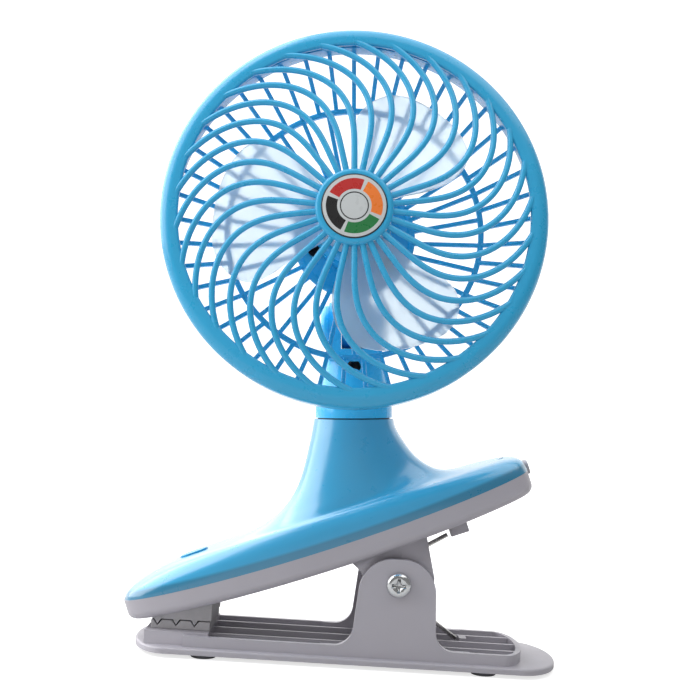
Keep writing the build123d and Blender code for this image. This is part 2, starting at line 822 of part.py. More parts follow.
def board_post_places():
    """Where posts stand under the charging board and the switch board."""
    charge_toe = board_tail_end() - board_length + charge_post_toe_inset
    charge_tail = board_tail_end() - charge_post_tail_inset
    charge_side = board_half_width - charge_post_inset
    switch_reach = switch_board_length / 2 - switch_post_end_inset
    switch_side = switch_board_half_width - switch_post_inset
    places = []
    for side in (-1, 1):
        places.append((charge_toe, side * charge_side))
        places.append((charge_tail, side * charge_side))
        places.append((button_place - switch_reach, side * switch_side))
        places.append((button_place + switch_reach, side * switch_side))
    return places


def board_tail_end():
    """Where the charging board ends, near the jaw's tail."""
    return jaw_half_length - 2 * plastic_wall


def socket_lip_end():
    """How far along the jaw the socket's raised lip reaches."""
    return jaw_half_length + socket_lip


def socket_block(grow, low, high):
    """The charging socket's outline, grown all round, between two places along the jaw."""
    middle = board_height + board_thickness + socket_height / 2
    size = (high - low, socket_width + 2 * grow, socket_height + 2 * grow)
    block = Box(*size)
    block = fillet(block.edges().filter_by(Axis.X), min(corner_share * size[2], socket_round + grow))
    return Pos((low + high) / 2, 0, middle) * block


def spring_saddle():
    """A block under the housing that the spring's upper leg bears against."""
    along, height = to_jaw(upper_anchor)
    size = anchor_block_size
    low = height - wire_radius
    middle = Pos(along + wire_radius + joint_gap + saddle_length / 2, leg_offset(-1))
    block = middle * Rectangle(saddle_length, 2 * size)
    return slab(block, low, underside(along) + hidden_overlap)


# ---- cover with the neck ----
def cover_sections(inset):
    """Rows of the cover's form: toe point, tail point, half width, outline power."""
    rows = []
    for toe_in, toe_up, tail_in, tail_up, narrow, power, sunk in crown_rows:
        toe = (toe_in + inset - jaw_half_length, toe_up - inset * sunk)
        tail = (jaw_half_length - tail_in - inset, tail_up - inset * sunk)
        rows.append((toe, tail, jaw_half_width - narrow - inset, power))
    for toe_flare, toe_drop, tail_flare, tail_drop, flare, sunk in neck_rows:
        toe = (-neck_radius - toe_flare + inset, neck_top_z - toe_drop - inset * sunk)
        tail = (neck_radius + tail_flare - inset, neck_top_z - tail_drop - inset * sunk)
        ends = (to_jaw(leaned_point(toe)), to_jaw(leaned_point(tail)))
        rows.append((*ends, neck_radius + flare - inset, 2.0))
    return rows


def cover_form(inset):
    """The cover's form as one smooth solid, drawn in by an inset."""
    sections = []
    for toe, tail, half_width, power in cover_sections(inset):
        span = Vector(tail[0] - toe[0], 0, tail[1] - toe[1])
        middle = ((toe[0] + tail[0]) / 2, 0, (toe[1] + tail[1]) / 2)
        place = Plane(origin=middle, x_dir=span, z_dir=(-span.Z, 0, span.X))
        half = span.length / 2
        sections.append(place * jaw_oval(-half, half, half_width, power))
    return loft(sections)


def button_outline(grow):
    """The button's oval, grown all round."""
    shape = SlotOverall(button_length + 2 * grow, button_width + 2 * grow)
    return Pos(button_place, 0) * shape


def top_cover():
    """The cover: crowned over both jaw ends and drawn up into the flared neck."""
    below = between_lines(far_below(jaw_reach), parting_line())
    cover = cover_form(0) - below - cover_form(plastic_wall)
    cover = in_jaw(cover)
    ledge_low = neck_top_z - neck_ledge_height
    cover += on_stem(slab(Circle(neck_radius - plastic_wall / 2), ledge_low, neck_top_z))
    cover -= on_stem(
        slab(Circle(spigot_radius + running_gap), ledge_low - overshoot, neck_top_z + overshoot)
    )
    inside = cover_form(plastic_wall / 2)
    for place in case_screw_places:
        low = underside(place[0]) + hidden_overlap + case_boss_height
        post = Pos(place[0], place[1]) * slab(Circle(case_post_radius), low, low + jaw_reach)
        hole = Pos(place[0], place[1]) * slab(
            Circle(case_screw_radius + screw_gap), low - overshoot,
            screw_tip(place) + case_screw_tip_gap,
        )
        cover += in_jaw((post & inside) - hole)
    cover -= in_jaw(slab(button_outline(joint_gap), 0, jaw_reach))
    cover -= in_jaw(Pos(lamp_place, 0) * slab(Circle(lamp_radius + screw_gap), 0, jaw_reach))
    lip_room = socket_block(socket_lip_width + screw_gap, 0, socket_lip_end() + overshoot)
    return cover - in_jaw(lip_room)


def screw_tip(place):
    """The height of a case screw's tip."""
    return underside(place[0]) + joint_gap + case_screw_head_height + case_screw_length


def case_screws():
    """Four self-tapping screws that hold the housing to the cover."""
    screws = []
    for place in case_screw_places:
        seat = underside(place[0]) + joint_gap + case_screw_head_height
        head = slab(Circle(case_screw_head_radius), seat - case_screw_head_height, seat)
        shank = slab(Circle(case_screw_radius), seat, screw_tip(place))
        screw = head + shank
        recess = cross_recess(case_recess_span, case_recess_width, case_recess_depth)
        recess = recess.rotate(Axis.X, 180)
        screw -= Pos(0, 0, seat - case_screw_head_height) * recess
        screws.append(in_jaw(Pos(place[0], place[1]) * screw))
    return Compound(children=screws)


def button_bottom():
    """The height of the button's lower end, clear of the switch over the button's whole travel."""
    return switch_top() + button_travel + joint_gap


def power_button():
    """The push button, its top following the cover's crown."""
    return in_jaw(slab(button_outline(0), button_bottom(), jaw_reach) & cover_form(-button_stand))


def switch_top():
    """The height of the switch's plunger, under the button."""
    return board_height + board_thickness + switch_height


def tact_switch():
    """The switch on its board, with its round plunger."""
    low = board_height + board_thickness
    shoulder = switch_top() - plunger_height
    body = Pos(button_place, 0, (low + shoulder) / 2) * Box(
        switch_size, switch_size, shoulder - low
    )
    plunger = Pos(button_place, 0) * slab(Circle(plunger_radius), shoulder, switch_top())
    return in_jaw(body + plunger)


def switch_board():
    """The small circuit board under the button."""
    board = Rectangle(switch_board_length, 2 * switch_board_half_width)
    board = slab(Pos(button_place, 0) * board, board_height, board_height + board_thickness)
    return in_jaw(board)


def charge_board():
    """The circuit board behind the charging socket."""
    board = Rectangle(board_length, 2 * board_half_width)
    middle = board_tail_end() - board_length / 2
    board = slab(Pos(middle, 0) * board, board_height, board_height + board_thickness)
    return in_jaw(board)


def charge_socket():
    """The metal shell of the charging socket with its tongue."""
    mouth = socket_lip_end() - screw_gap
    back = mouth - socket_depth
    shell = socket_block(0, back, mouth)
    shell -= socket_block(-socket_wall, back + socket_wall, mouth + overshoot)
    middle = board_height + board_thickness + socket_height / 2
    tip = mouth - tongue_inset
    tongue = Pos((back + tip) / 2, 0, middle) * Box(tip - back, tongue_width, tongue_thickness)
    return in_jaw(shell + tongue)


def battery_cell():
    """The round cell, lying along the jaw under the neck."""
    return in_jaw(
        rod(
            cell_radius,
            (cell_middle - cell_length / 2, 0, cell_height),
            (cell_middle + cell_length / 2, 0, cell_height),
        )
    )


def cell_contacts():
    """A spring-metal plate at each end of the cell."""
    plates = []
    for side in (-1, 1):
        along = cell_middle + side * (cell_length + contact_thickness) / 2
        plate = Pos(along, 0, cell_height) * Box(contact_thickness, contact_size, contact_size)
        plates.append(in_jaw(plate))
    return Compound(children=plates)


def lamp_lens():
    """The clear pip of the charging lamp, near the tail of the cover."""
    pip = Pos(lamp_place, 0) * slab(Circle(lamp_radius), lamp_low, jaw_reach)
    return in_jaw(pip & cover_form(-lamp_stand))


# ---- grips ----
def valley_places():
    """Where the V grooves between the teeth lie."""
    return [first_valley_x + tooth_pitch * step for step in range(tooth_count)]


def lower_grip():
    """The toothed rubber grip on the lower jaw's toe block."""
    span = grip_tail_x - grip_toe_x
    height = tooth_top_z - toe_block_top_z
    side = Pos(grip_toe_x + span / 2, toe_block_top_z + height / 2) * Rectangle(span, height)
    for valley in valley_places():
        side -= Polygon(
            (valley - valley_width / 2, tooth_top_z), (valley, tooth_top_z - valley_depth),
            (valley + valley_width / 2, tooth_top_z), align=None,
        )
    return side_solid(side, -grip_half_width, grip_half_width)


def upper_grip():
    """The rubber grip under the upper jaw, whose ridges lie in the lower grip's grooves."""
    low = tooth_top_z + grip_gap
    toe = grip_toe_x + upper_grip_shift
    tail = grip_tail_x + upper_grip_shift
    high = low + housing_toe_depth + (tail - toe)
    side = Polygon((toe, low), (toe, high), (tail, high), (tail, low), align=None)
    solid = side_solid(side, -grip_half_width, grip_half_width)
    half = valley_width / 2 - grip_gap
    for valley in valley_places():
        ridge = Polygon(
            (valley - half, low + hidden_overlap), (valley - half, low),
            (valley, low - valley_depth + grip_gap / 2),
            (valley + half, low), (valley + half, low + hidden_overlap), align=None,
        )
        solid += side_solid(ridge, -grip_half_width, grip_half_width)
    solid = jaw_plane.location.inverse() * solid
    return in_jaw(solid & between_lines(far_below(jaw_reach), housing_line(0)))


# ---- stem ----
def stem_form():
    """The stem before it is cut in two: spigot, collar, waist and fork."""
    collar_top = collar_bottom_z + collar_height
    middle_z = (collar_top + stem_waist_z) / 2
    middle_width = (collar_radius + stem_waist_half_width) / 2 - stem_draw_width
    middle_depth = (collar_radius + stem_waist_half_depth) / 2 - stem_draw_depth
    form = slab(Circle(collar_radius), collar_bottom_z, collar_top)
    form += loft([
        Pos(0, 0, collar_top) * Ellipse(collar_radius, collar_radius),
        Pos(0, 0, middle_z) * Ellipse(middle_width, middle_depth),
        Pos(0, 0, stem_waist_z) * Ellipse(stem_waist_half_width, stem_waist_half_depth),
    ])
    form += slab(Circle(spigot_radius), spigot_bottom(), collar_bottom_z)
    cheek = Pos(0, tilt_z) * Circle(fork_radius)
    cheek += Pos(0, (tilt_z + stem_waist_z - fork_root) / 2) * Rectangle(
        2 * fork_radius, tilt_z - stem_waist_z + fork_root
    )
    near_side = Plane(origin=(-fork_half_width, 0, 0), x_dir=(0, 1, 0), z_dir=(1, 0, 0))
    form += extrude(near_side * cheek, 2 * fork_half_width)
    slot_half = lug_half_width + lug_side_gap
    slot_low = tilt_z - lug_radius - joint_gap
    slot = Pos(0, 0, slot_low + 2 * fork_radius) * Box(
        2 * slot_half, 3 * fork_radius, 4 * fork_radius
    )
    form -= slot
    form -= rod(tilt_bolt_radius + running_gap, (-2 * fork_radius, 0, tilt_z),
                (2 * fork_radius, 0, tilt_z))
    form -= slab(Circle(spigot_bore), spigot_bottom() - overshoot, stem_waist_z - stem_bore_roof)
    return form


def spigot_bottom():
    """The height of the spigot's lower end, just below the neck's ledge."""
    return neck_top_z - neck_ledge_height - swivel_gap


def stem_half(side):
    """The front (-1) or rear (+1) half of the stem."""
    size = 6 * fork_radius
    block = Pos(0, side * size / 2, (tilt_z + neck_top_z) / 2) * Box(size, size, 2 * size)
    half = (stem_form() & block) - stem_screw(screw_gap)
    for hole in retainer_screw_set(screw_gap):
        half -= hole
    return on_stem(half)


def stem_screw(grow):
    """The screw that draws the stem's halves together, grown all round for its hole."""
    front = -stem_waist_half_depth - stem_screw_head_stand
    head = rod(
        stem_screw_head_radius + grow,
        (0, front, stem_screw_z), (0, front + stem_screw_head_height, stem_screw_z),
    )
    shank = rod(
        stem_screw_radius + grow,
        (0, front + hidden_overlap, stem_screw_z), (0, stem_screw_tip, stem_screw_z),
    )
    return shank + head


def swivel_washer():
    """The thin dark ring in the seam between neck and stem."""
    outer = Circle(collar_radius - washer_inset)
    ring = outer - Circle(spigot_radius + running_gap)
    return slab(ring, neck_top_z + swivel_gap, collar_bottom_z)


def retainer_ring():
    """The ring screwed under the spigot, which keeps the stem in the neck."""
    ring = slab(
        Circle(retainer_radius) - Circle(spigot_bore), spigot_bottom() - retainer_height,
        spigot_bottom(),
    )
    for hole in retainer_screw_set(screw_gap):
        ring -= hole
    return ring


def retainer_screw_set(grow):
    """The retainer's four screws, grown all round for their holes."""
    low = spigot_bottom() - retainer_height
    middle = (spigot_radius + spigot_bore) / 2
    head = slab(
        Circle(retainer_screw_head_radius + grow), low - retainer_screw_head_height, low
    )
    shank = slab(Circle(retainer_screw_radius + grow), low, low + retainer_screw_length + grow)
    screw = Pos(middle, 0) * (head + shank)
    return around(screw, retainer_screw_count, retainer_screw_angle)


def tilt_bolt():
    """The bolt through the fork and the head's lug."""
    out = fork_half_width
    bolt = rod(tilt_bolt_head_radius, (-out - tilt_bolt_head_height, 0, tilt_z), (-out, 0, tilt_z))
    bolt += rod(tilt_bolt_radius, (-out, 0, tilt_z), (out + tilt_nut_height, 0, tilt_z))
    return on_stem(bolt)


def tilt_nut():
    """The hexagon nut on the tilt bolt."""
    blank = slab(hexagon(tilt_nut_flats) - Circle(tilt_bolt_radius + screw_gap), 0, tilt_nut_height)
    place = Plane(origin=(fork_half_width, 0, tilt_z), x_dir=(0, 1, 0), z_dir=(1, 0, 0))
    return on_stem(place * blank)


def tilt_caps():
    """The two hollow caps over the ends of the tilt bolt."""
    cap = slab(Circle(tilt_cap_radius), 0, tilt_cap_height)
    cap = fillet(cap.edges().group_by(Axis.Z)[-1], tilt_cap_round)
    cap -= slab(Circle(tilt_cap_radius - tilt_cap_wall), -overshoot, tilt_cap_height - tilt_cap_wall)
    caps = []
    for side in (-1, 1):
        place = Plane(
            origin=(side * fork_half_width, 0, tilt_z), x_dir=(0, 1, 0), z_dir=(side, 0, 0)
        )
        caps.append(on_stem(place * cap))
    return Compound(children=caps)


# ---- head ----
def turned(outline):
    """An outline in radius and depth, turned about the fan's axis."""
    return revolve(Plane.XZ * outline, Axis.Z)


def rounded(outline, corners):
    """An outline with some of its corners rounded; each corner is a point and a radius."""
    for point, radius in corners:
        near = [
            spot for spot in outline.vertices()
            if math.dist((spot.X, spot.Y), point) < same_place
        ]
        outline = fillet(near, radius)
    return outline


def around(shape, count, first):
    """Copies of a shape spread evenly about the fan's axis."""
    return [shape.rotate(Axis.Z, first + 360 * step / count) for step in range(count)]


def front_ring():
    """The front ring with its rolled lip."""
    outer = ring_radius
    inner = ring_radius - ring_wall
    under = ring_lip_height - ring_lip_thickness
    outline = Polygon(
        (outer - ring_draft, -ring_join_depth), (outer, 0), (outer, ring_lip_height),
        (ring_lip_radius, ring_lip_height), (ring_lip_radius, under), (inner, under),
        (inner, -ring_join_depth), align=None,
    )
    outline = rounded(outline, (
        ((outer, ring_lip_height), ring_lip_height - round_slack), ((inner, under), ring_inner_round),
        ((ring_lip_radius, ring_lip_height), ring_lip_round),
        ((ring_lip_radius, under), ring_lip_round),
    ))
    return turned(outline)


def front_hub():
    """The raised hub with a shallow seat for the badge."""
    low = hub_face_height - hub_depth
    hub = slab(Circle(hub_radius), low, hub_face_height)
    hub = fillet(hub.edges().group_by(Axis.Z)[-1], hub_round)
    seat = hub_face_height - badge_thickness + badge_stand
    return hub - slab(Circle(badge_radius + screw_gap), seat, hub_face_height + overshoot)


def front_rib():
    """One round rib: straight out of the hub, then swept round and falling back to the ring."""
    start = hub_radius - rib_bite
    end = ring_lip_radius + rib_bite
    high = hub_face_height - hub_depth / 2
    points = []
    for step in range(front_rib_points):
        radius = start + (end - start) * step / (front_rib_points - 1)
        share = max(0, (radius - sweep_start_radius) / (sweep_end_radius - sweep_start_radius))
        turn = math.radians(sweep_angle) * share**sweep_power
        fall = dome_drop * ((radius - start) / (end - start)) ** dome_power
        points.append((radius * math.cos(turn), radius * math.sin(turn), high - fall))
    path = Spline(points)
    section = Plane(origin=path @ 0, z_dir=path % 0) * Circle(front_rib_radius)
    return sweep(section, path=path)


def front_grille():
    """The front grille's hub with its swept ribs, which end on the front ring's lip."""
    ribs = around(front_rib(), front_rib_count, 90)
    return in_head((front_hub() + ribs) - front_ring())


def badge_disc():
    """The round plate let into the hub."""
    low = hub_face_height - badge_thickness + badge_stand
    return in_head(slab(Circle(badge_radius), low, low + badge_thickness))


def rear_ring():
    """The rear ring with the spigot that enters the front ring."""
    outer = ring_radius - ring_step
    spigot = ring_radius - ring_wall - spigot_fit
    inner = spigot - ring_spigot_wall
    lip_top = rear_lip_thickness - ring_rear_depth
    outline = Polygon(
        (inner, ring_spigot_height - ring_join_depth), (spigot, ring_spigot_height - ring_join_depth),
        (spigot, -ring_join_depth), (outer, -ring_join_depth), (outer - ring_draft, -ring_rear_depth),
        (rear_lip_radius, -ring_rear_depth), (rear_lip_radius, lip_top), (inner, lip_top), align=None,
    )
    return turned(rounded(outline, (((outer - ring_draft, -ring_rear_depth), rear_lip_round),)))


def rear_rib(outer, inner):
    """A flat rib between two points, each a radius and a depth."""
    half = rear_rib_depth / 2
    outline = Polygon(
        (outer[0], outer[1] - half), (outer[0], outer[1] + half), (inner[0], inner[1] + half),
        (inner[0], inner[1] - half), align=None,
    )
    return side_solid(outline, -rear_rib_width / 2, rear_rib_width / 2)


def plate_screw_set(grow):
    """The screws that clamp the rear plate to the hinge bracket, grown all round for holes."""
    face = plate_thickness / 2 - plate_depth
    head = slab(Circle(plate_screw_head_radius + grow), face, face + plate_screw_head_height)
    shank = slab(Circle(plate_screw_radius + grow), face - plate_screw_length - grow, face)
    screw = Pos(plate_screw_circle, 0) * (head + shank)
    return around(screw, plate_screw_count, plate_screw_angle)


def rear_grille():
    """The rear grille: outer ribs, middle ring, inner ribs and plate, ending on the rear ring."""
    lip_middle = (rear_lip_radius + rib_bite, rear_lip_thickness / 2 - ring_rear_depth)
    middle = (rear_ring_radius, -rear_ring_depth)
    plate_edge = (plate_radius - rib_bite, -plate_depth)
    band = Circle(rear_ring_radius + rear_ring_width / 2)
    band -= Circle(rear_ring_radius - rear_ring_width / 2)
    low = -rear_ring_depth - rear_ring_height / 2
    plate_low = -plate_depth - plate_thickness / 2
    plate = slab(Circle(plate_radius), plate_low, plate_low + plate_thickness)
    pieces = [slab(band, low, low + rear_ring_height)]
    pieces += around(rear_rib(lip_middle, middle), outer_rib_count, 90)
    pieces += around(rear_rib(middle, plate_edge), inner_rib_count, 90)
    grille = (plate + pieces) - rear_ring()
    for hole in plate_screw_set(screw_gap):
        grille -= hole
    return in_head(grille)


def hinge_bracket():
    """The disc behind the rear plate, with the arm and lug that reach into the stem's fork."""
    front = -plate_depth - plate_thickness / 2
    back = front - bracket_thickness
    lug = Pos(-head_forward, -head_rise) * Circle(lug_radius)
    root_height = bracket_arm_high - bracket_arm_low
    root = Pos(back, (bracket_arm_high + bracket_arm_low) / 2) * Rectangle(
        bracket_thickness, root_height
    )
    arm = make_hull((lug.edges() + root.edges()))
    side = Plane(origin=(lug_half_width, 0, 0), x_dir=(0, 0, 1), z_dir=(-1, 0, 0))
    bracket = slab(Circle(bracket_radius), back, front) + extrude(side * arm, 2 * lug_half_width)
    for hole in plate_screw_set(screw_gap):
        bracket -= hole
    far = 2 * lug_half_width
    bracket -= rod(
        tilt_bolt_radius + running_gap, (-far, -head_rise, -head_forward),
        (far, -head_rise, -head_forward),
    )
    return in_head(bracket)


def plate_screws():
    """Three screws with cross recesses on the rear plate."""
    face = plate_thickness / 2 - plate_depth + plate_screw_head_height
    recess = cross_recess(plate_recess_span, plate_recess_width, plate_recess_depth)
    recess = Pos(plate_screw_circle, 0, face) * recess
    cuts = around(recess, plate_screw_count, plate_screw_angle)
    screws = [in_head(screw - cut) for screw, cut in zip(plate_screw_set(0), cuts)]
    return Compound(children=screws)


# ---- motor and impeller ----
def motor_cup():
    """The round cover over the motor, open towards the rear plate."""
    cup = slab(Circle(motor_cup_radius), motor_back, cup_front)
    cup = fillet(cup.edges().group_by(Axis.Z)[-1], motor_cup_wall)
    cup -= slab(Circle(motor_cup_radius - motor_cup_wall), motor_back - overshoot, motor_front)
    hole = slab(Circle(motor_cup_hole), motor_front - overshoot, cup_front + overshoot)
    return in_head(cup - hole)


def motor_can():
    """The motor with a bearing hole for its shaft."""
    can = slab(Circle(motor_radius), motor_back, motor_front)
    bore = Circle(shaft_radius + running_gap)
    hole = slab(bore, motor_front - shaft_tail - joint_gap, motor_front + overshoot)
    return in_head(can - hole)


def motor_shaft():
    """The shaft that carries the impeller."""
    return in_head(slab(Circle(shaft_radius), motor_front - shaft_tail, motor_front + shaft_stand))


def blade():
    """One blade, lying along +X: a twisted sheet cut to a rounded outline."""
    sections = []
    for radius, middle, chord, pitch in blade_rows:
        turn = math.radians(pitch)
        place = Plane(
            origin=(radius, 0, middle), x_dir=(0, math.cos(turn), -math.sin(turn)), z_dir=(1, 0, 0)
        )
        sections.append(place * Rectangle(chord, blade_thickness))
    low = impeller_back - 2 * impeller_hub_length
    outline = make_face(Spline(blade_outline, periodic=True))
    sheet = loft(sections) & slab(outline, low, -low)
    return sheet - slab(Circle(impeller_hub_radius - impeller_hub_wall / 2), low, -low)


def impeller():
    """The hub, hollow from behind with a boss for the shaft, and its three blades."""
    front = impeller_back + impeller_hub_length
    hub = slab(Circle(impeller_hub_radius), impeller_back, front)
    hub = fillet(hub.edges().group_by(Axis.Z)[-1], impeller_hub_round)
    hub -= slab(
        Circle(impeller_hub_radius - impeller_hub_wall), impeller_back - overshoot,
        front - impeller_hub_round,
    )
    hub += slab(
        Circle(impeller_boss_radius),
        impeller_back + impeller_boss_inset, front - impeller_boss_inset,
    )
    hub = hub + around(blade(), blade_count, first_blade_angle)
    hub -= slab(Circle(shaft_radius), impeller_back - overshoot, motor_front + shaft_stand)
    return in_head(hub)


PIECES = {
    "lower_jaw": lower_jaw,
    "rubber_feet": rubber_feet,
    "lower_grip": lower_grip,
    "pivot_bolt": pivot_bolt,
    "pivot_nut": pivot_nut,
    "clip_spring": clip_spring,
    "jaw_housing": jaw_housing,
    "top_cover": top_cover,
    "upper_grip": upper_grip,
    "case_screws": case_screws,
    "power_button": power_button,
    "tact_switch": tact_switch,
    "switch_board": switch_board,
    "charge_board": charge_board,
    "charge_socket": charge_socket,
    "battery_cell": battery_cell,
    "cell_contacts": cell_contacts,
    "lamp_lens": lamp_lens,
    "front_ring": lambda: in_head(front_ring()),
    "front_grille": front_grille,
    "badge_disc": badge_disc,
    "rear_ring": lambda: in_head(rear_ring()),
    "rear_grille": rear_grille,
    "hinge_bracket": hinge_bracket,
    "plate_screws": plate_screws,
    "motor_cup": motor_cup,
    "motor_can": motor_can,
    "motor_shaft": motor_shaft,
    "impeller": impeller,
}


def main():
    """Make every piece and write it under its own name."""
    os.makedirs("parts", exist_ok=True)
    for node, make in PIECES.items():
        save(node, make())
    save("stem_front", stem_half(-1))
    save("stem_rear", stem_half(1))
    save("swivel_washer", on_stem(swivel_washer()))
    save("retainer_ring", on_stem(retainer_ring()))
    save("retainer_screws", Compound(children=[on_stem(item) for item in retainer_screw_set(0)]))
    save("stem_screw", on_stem(stem_screw(0)))
    save("tilt_bolt", tilt_bolt())
    save("tilt_nut", tilt_nut())
    save("tilt_caps", tilt_caps())


main()
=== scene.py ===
"""Dresses the clip fan: moulded blue and grey plastic, frosted blades, plated screws, and a studio.

Everything is in metres in the part's own frame.  Sizes below are in millimetres where they repeat
the part's own sizes, and are turned into metres when a mesh is made.
"""
import functools
import math

import bmesh
import bpy
import numpy as np
from mathutils import Matrix, Vector


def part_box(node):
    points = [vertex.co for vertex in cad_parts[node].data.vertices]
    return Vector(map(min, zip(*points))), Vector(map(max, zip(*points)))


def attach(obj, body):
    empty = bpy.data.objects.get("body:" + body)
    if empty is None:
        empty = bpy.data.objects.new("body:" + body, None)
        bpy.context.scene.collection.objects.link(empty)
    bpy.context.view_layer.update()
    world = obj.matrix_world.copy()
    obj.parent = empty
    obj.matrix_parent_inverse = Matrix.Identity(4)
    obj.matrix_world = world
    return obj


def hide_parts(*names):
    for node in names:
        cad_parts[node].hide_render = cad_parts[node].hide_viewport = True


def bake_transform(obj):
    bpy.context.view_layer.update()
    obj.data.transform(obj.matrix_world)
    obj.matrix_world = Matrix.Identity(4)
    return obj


bl_info = {
    "name": "Clip fan dressing",
    "version": (1, 0, 0),
    "blender": (4, 5, 0),
    "location": "3D View > Sidebar > Clip fan",
    "description": "Surfaces, finishes and studio for a fan that stands or clips on a table edge",
    "category": "Object",
}

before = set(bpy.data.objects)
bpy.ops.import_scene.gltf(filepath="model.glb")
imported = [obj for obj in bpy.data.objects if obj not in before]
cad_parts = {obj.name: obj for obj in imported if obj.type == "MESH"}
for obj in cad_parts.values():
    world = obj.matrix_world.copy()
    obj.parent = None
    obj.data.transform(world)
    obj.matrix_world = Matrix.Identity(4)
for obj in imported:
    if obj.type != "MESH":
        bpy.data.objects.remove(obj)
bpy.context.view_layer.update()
MM = 0.001

# Places and sizes in millimetres, as in the part.
JAW_TOE = (-93.7, 16.5)     # ends of the line between cover and housing, in X and Z
JAW_TAIL = (65.4, 78.1)

# Depths in the head are measured forward from the front ring's widest plane.
LIP_WIDTH = 7.0             # of the front ring's rolled lip, across the radius
RING_SEAM = -10.0           # depth where the rear ring meets the front ring
BADGE_RADIUS = 11.8
BADGE_SEAT = 12.15          # depth of the hub's face under the badge


# ---- surfaces from formulas ----
def grid_faces(rows, columns, wrap_rows=False, wrap_columns=False):
    """Quads of a grid: corner (i, j) with (i, j + 1), (i + 1, j + 1) and (i + 1, j)."""
    i, j = np.meshgrid(
        np.arange(rows if wrap_rows else rows - 1),
        np.arange(columns if wrap_columns else columns - 1), indexing="ij",
    )
    next_i, next_j = (i + 1) % rows, (j + 1) % columns
    corners = [i * columns + j, i * columns + next_j, next_i * columns + next_j, next_i * columns + j]
    return np.stack(corners, -1).reshape(-1, 4)


def rounded_outline(corners, radii, steps=6):
    """A closed outline with round corners.

    Each corner becomes an arc: its ends lie r / tan(half the corner's angle) along the two sides,
    and its points are centre + r (cos a, sin a) between them.
    """
    corners = np.asarray(corners, float)
    outline = []
    for here, before, after, radius in zip(
        corners, np.roll(corners, 1, 0), np.roll(corners, -1, 0), radii
    ):
        to_before = (before - here) / np.linalg.norm(before - here)
        to_after = (after - here) / np.linalg.norm(after - here)
        if radius <= 0:
            outline.append(here[None])
            continue
        half = math.acos(np.clip(to_before @ to_after, -1, 1)) / 2
        bisector = (to_before + to_after) / np.linalg.norm(to_before + to_after)
        centre = here + bisector * radius / math.sin(half)
        first = here + to_before * radius / math.tan(half) - centre
        last = here + to_after * radius / math.tan(half) - centre
        start = math.atan2(first[1], first[0])
        sweep = (math.atan2(last[1], last[0]) - start + math.pi) % (2 * math.pi) - math.pi
        angle = start + sweep * np.linspace(0, 1, steps)
        outline.append(centre + radius * np.stack([np.cos(angle), np.sin(angle)], -1))
    return np.concatenate(outline)


def turned(outline, steps):
    """An outline of (radius, depth) turned about the axis: (r cos t, r sin t, depth)."""
    turn = np.linspace(0, 2 * math.pi, steps, endpoint=False)[:, None]
    radius, depth = outline[None, :, 0], outline[None, :, 1]
    return np.stack([radius * np.cos(turn), radius * np.sin(turn), depth + 0 * turn], -1)


def carried(path, section, upright):
    """A section carried along a path: path + a side + b up, with side = along x upright."""
    along = np.gradient(path, axis=0)
    along /= np.linalg.norm(along, axis=1, keepdims=True)
    side = np.cross(along, upright)
    side /= np.linalg.norm(side, axis=1, keepdims=True)
    up = np.cross(side, along)
    return (
        path[:, None] + section[None, :, :1] * side[:, None] + section[None, :, 1:] * up[:, None]
    )


def round_section(radius, sides):
    """A circle of points (r cos t, r sin t)."""
    turn = np.linspace(0, 2 * math.pi, sides, endpoint=False)
    return radius * np.stack([np.cos(turn), np.sin(turn)], -1)


def soft_box_section(width, height, power, sides):
    """A box with soft corners: half sizes times cos and sin raised to 2 / power, signs kept."""
    turn = np.linspace(0, 2 * math.pi, sides, endpoint=False) + math.pi / sides
    across, up = np.cos(turn), np.sin(turn)
    return np.stack([
        width / 2 * np.sign(across) * np.abs(across) ** (2 / power),
        height / 2 * np.sign(up) * np.abs(up) ** (2 / power),
    ], -1)


def spread_around(points, count, first):
    """Copies of points turned about the axis by first + 360 k / count degrees."""
    turn = np.radians(first + 360 * np.arange(count) / count)
    c, s = np.cos(turn), np.sin(turn)
    flat = points.reshape(-1, 3)
    x = c[:, None] * flat[None, :, 0] - s[:, None] * flat[None, :, 1]
    y = s[:, None] * flat[None, :, 0] + c[:, None] * flat[None, :, 1]
    z = np.broadcast_to(flat[None, :, 2], x.shape)
    return np.stack([x, y, z], -1)


def head_place(points):
    """Head coordinates (right, up, forward, in mm) to the part's frame in metres.

    (right, -head_forward - forward, head_rise + up) is leaned back by the tilt about the tilt axis,
    raised by that axis' height, and then leaned with the neck.
    """
    sizes = bpy.context.scene.clip_fan_sizes
    tilt = sizes.head_tilt
    points = np.asarray(points, float).reshape(-1, 3) * MM
    x = points[:, 0]
    y = -sizes.head_forward - points[:, 2]
    z = sizes.head_rise + points[:, 1]
    y, z = y * math.cos(tilt) + z * math.sin(tilt), -y * math.sin(tilt) + z * math.cos(tilt)
    return leaned(np.stack([x, y, z + sizes.tilt_height], -1))


def leaned(points):
    """Upright points leaned about Y with the neck: (x cos n - z sin n, y, x sin n + z cos n)."""
    lean = bpy.context.scene.clip_fan_sizes.neck_lean
    x, y, z = np.moveaxis(np.asarray(points, float), -1, 0)
    return np.stack(
        [x * math.cos(lean) - z * math.sin(lean), y, x * math.sin(lean) + z * math.cos(lean)], -1
    )


def new_piece(name, points, faces, body, material, caps=(), sharp=40):
    """A mesh piece from points and faces, smooth up to the sharp angle, riding on its body."""
    mesh = bpy.data.meshes.new(name)
    mesh.from_pydata(np.asarray(points).reshape(-1, 3).tolist(), [], [*faces.tolist(), *caps])
    shape = bmesh.new()
    shape.from_mesh(mesh)
    bmesh.ops.remove_doubles(shape, verts=shape.verts, dist=1e-6)
    bmesh.ops.recalc_face_normals(shape, faces=shape.faces)
    shape.to_mesh(mesh)
    shape.free()
    piece = bpy.data.objects.new(name, mesh)
    bpy.context.scene.collection.objects.link(piece)
    finish_piece(piece, body, material, sharp)
    return piece


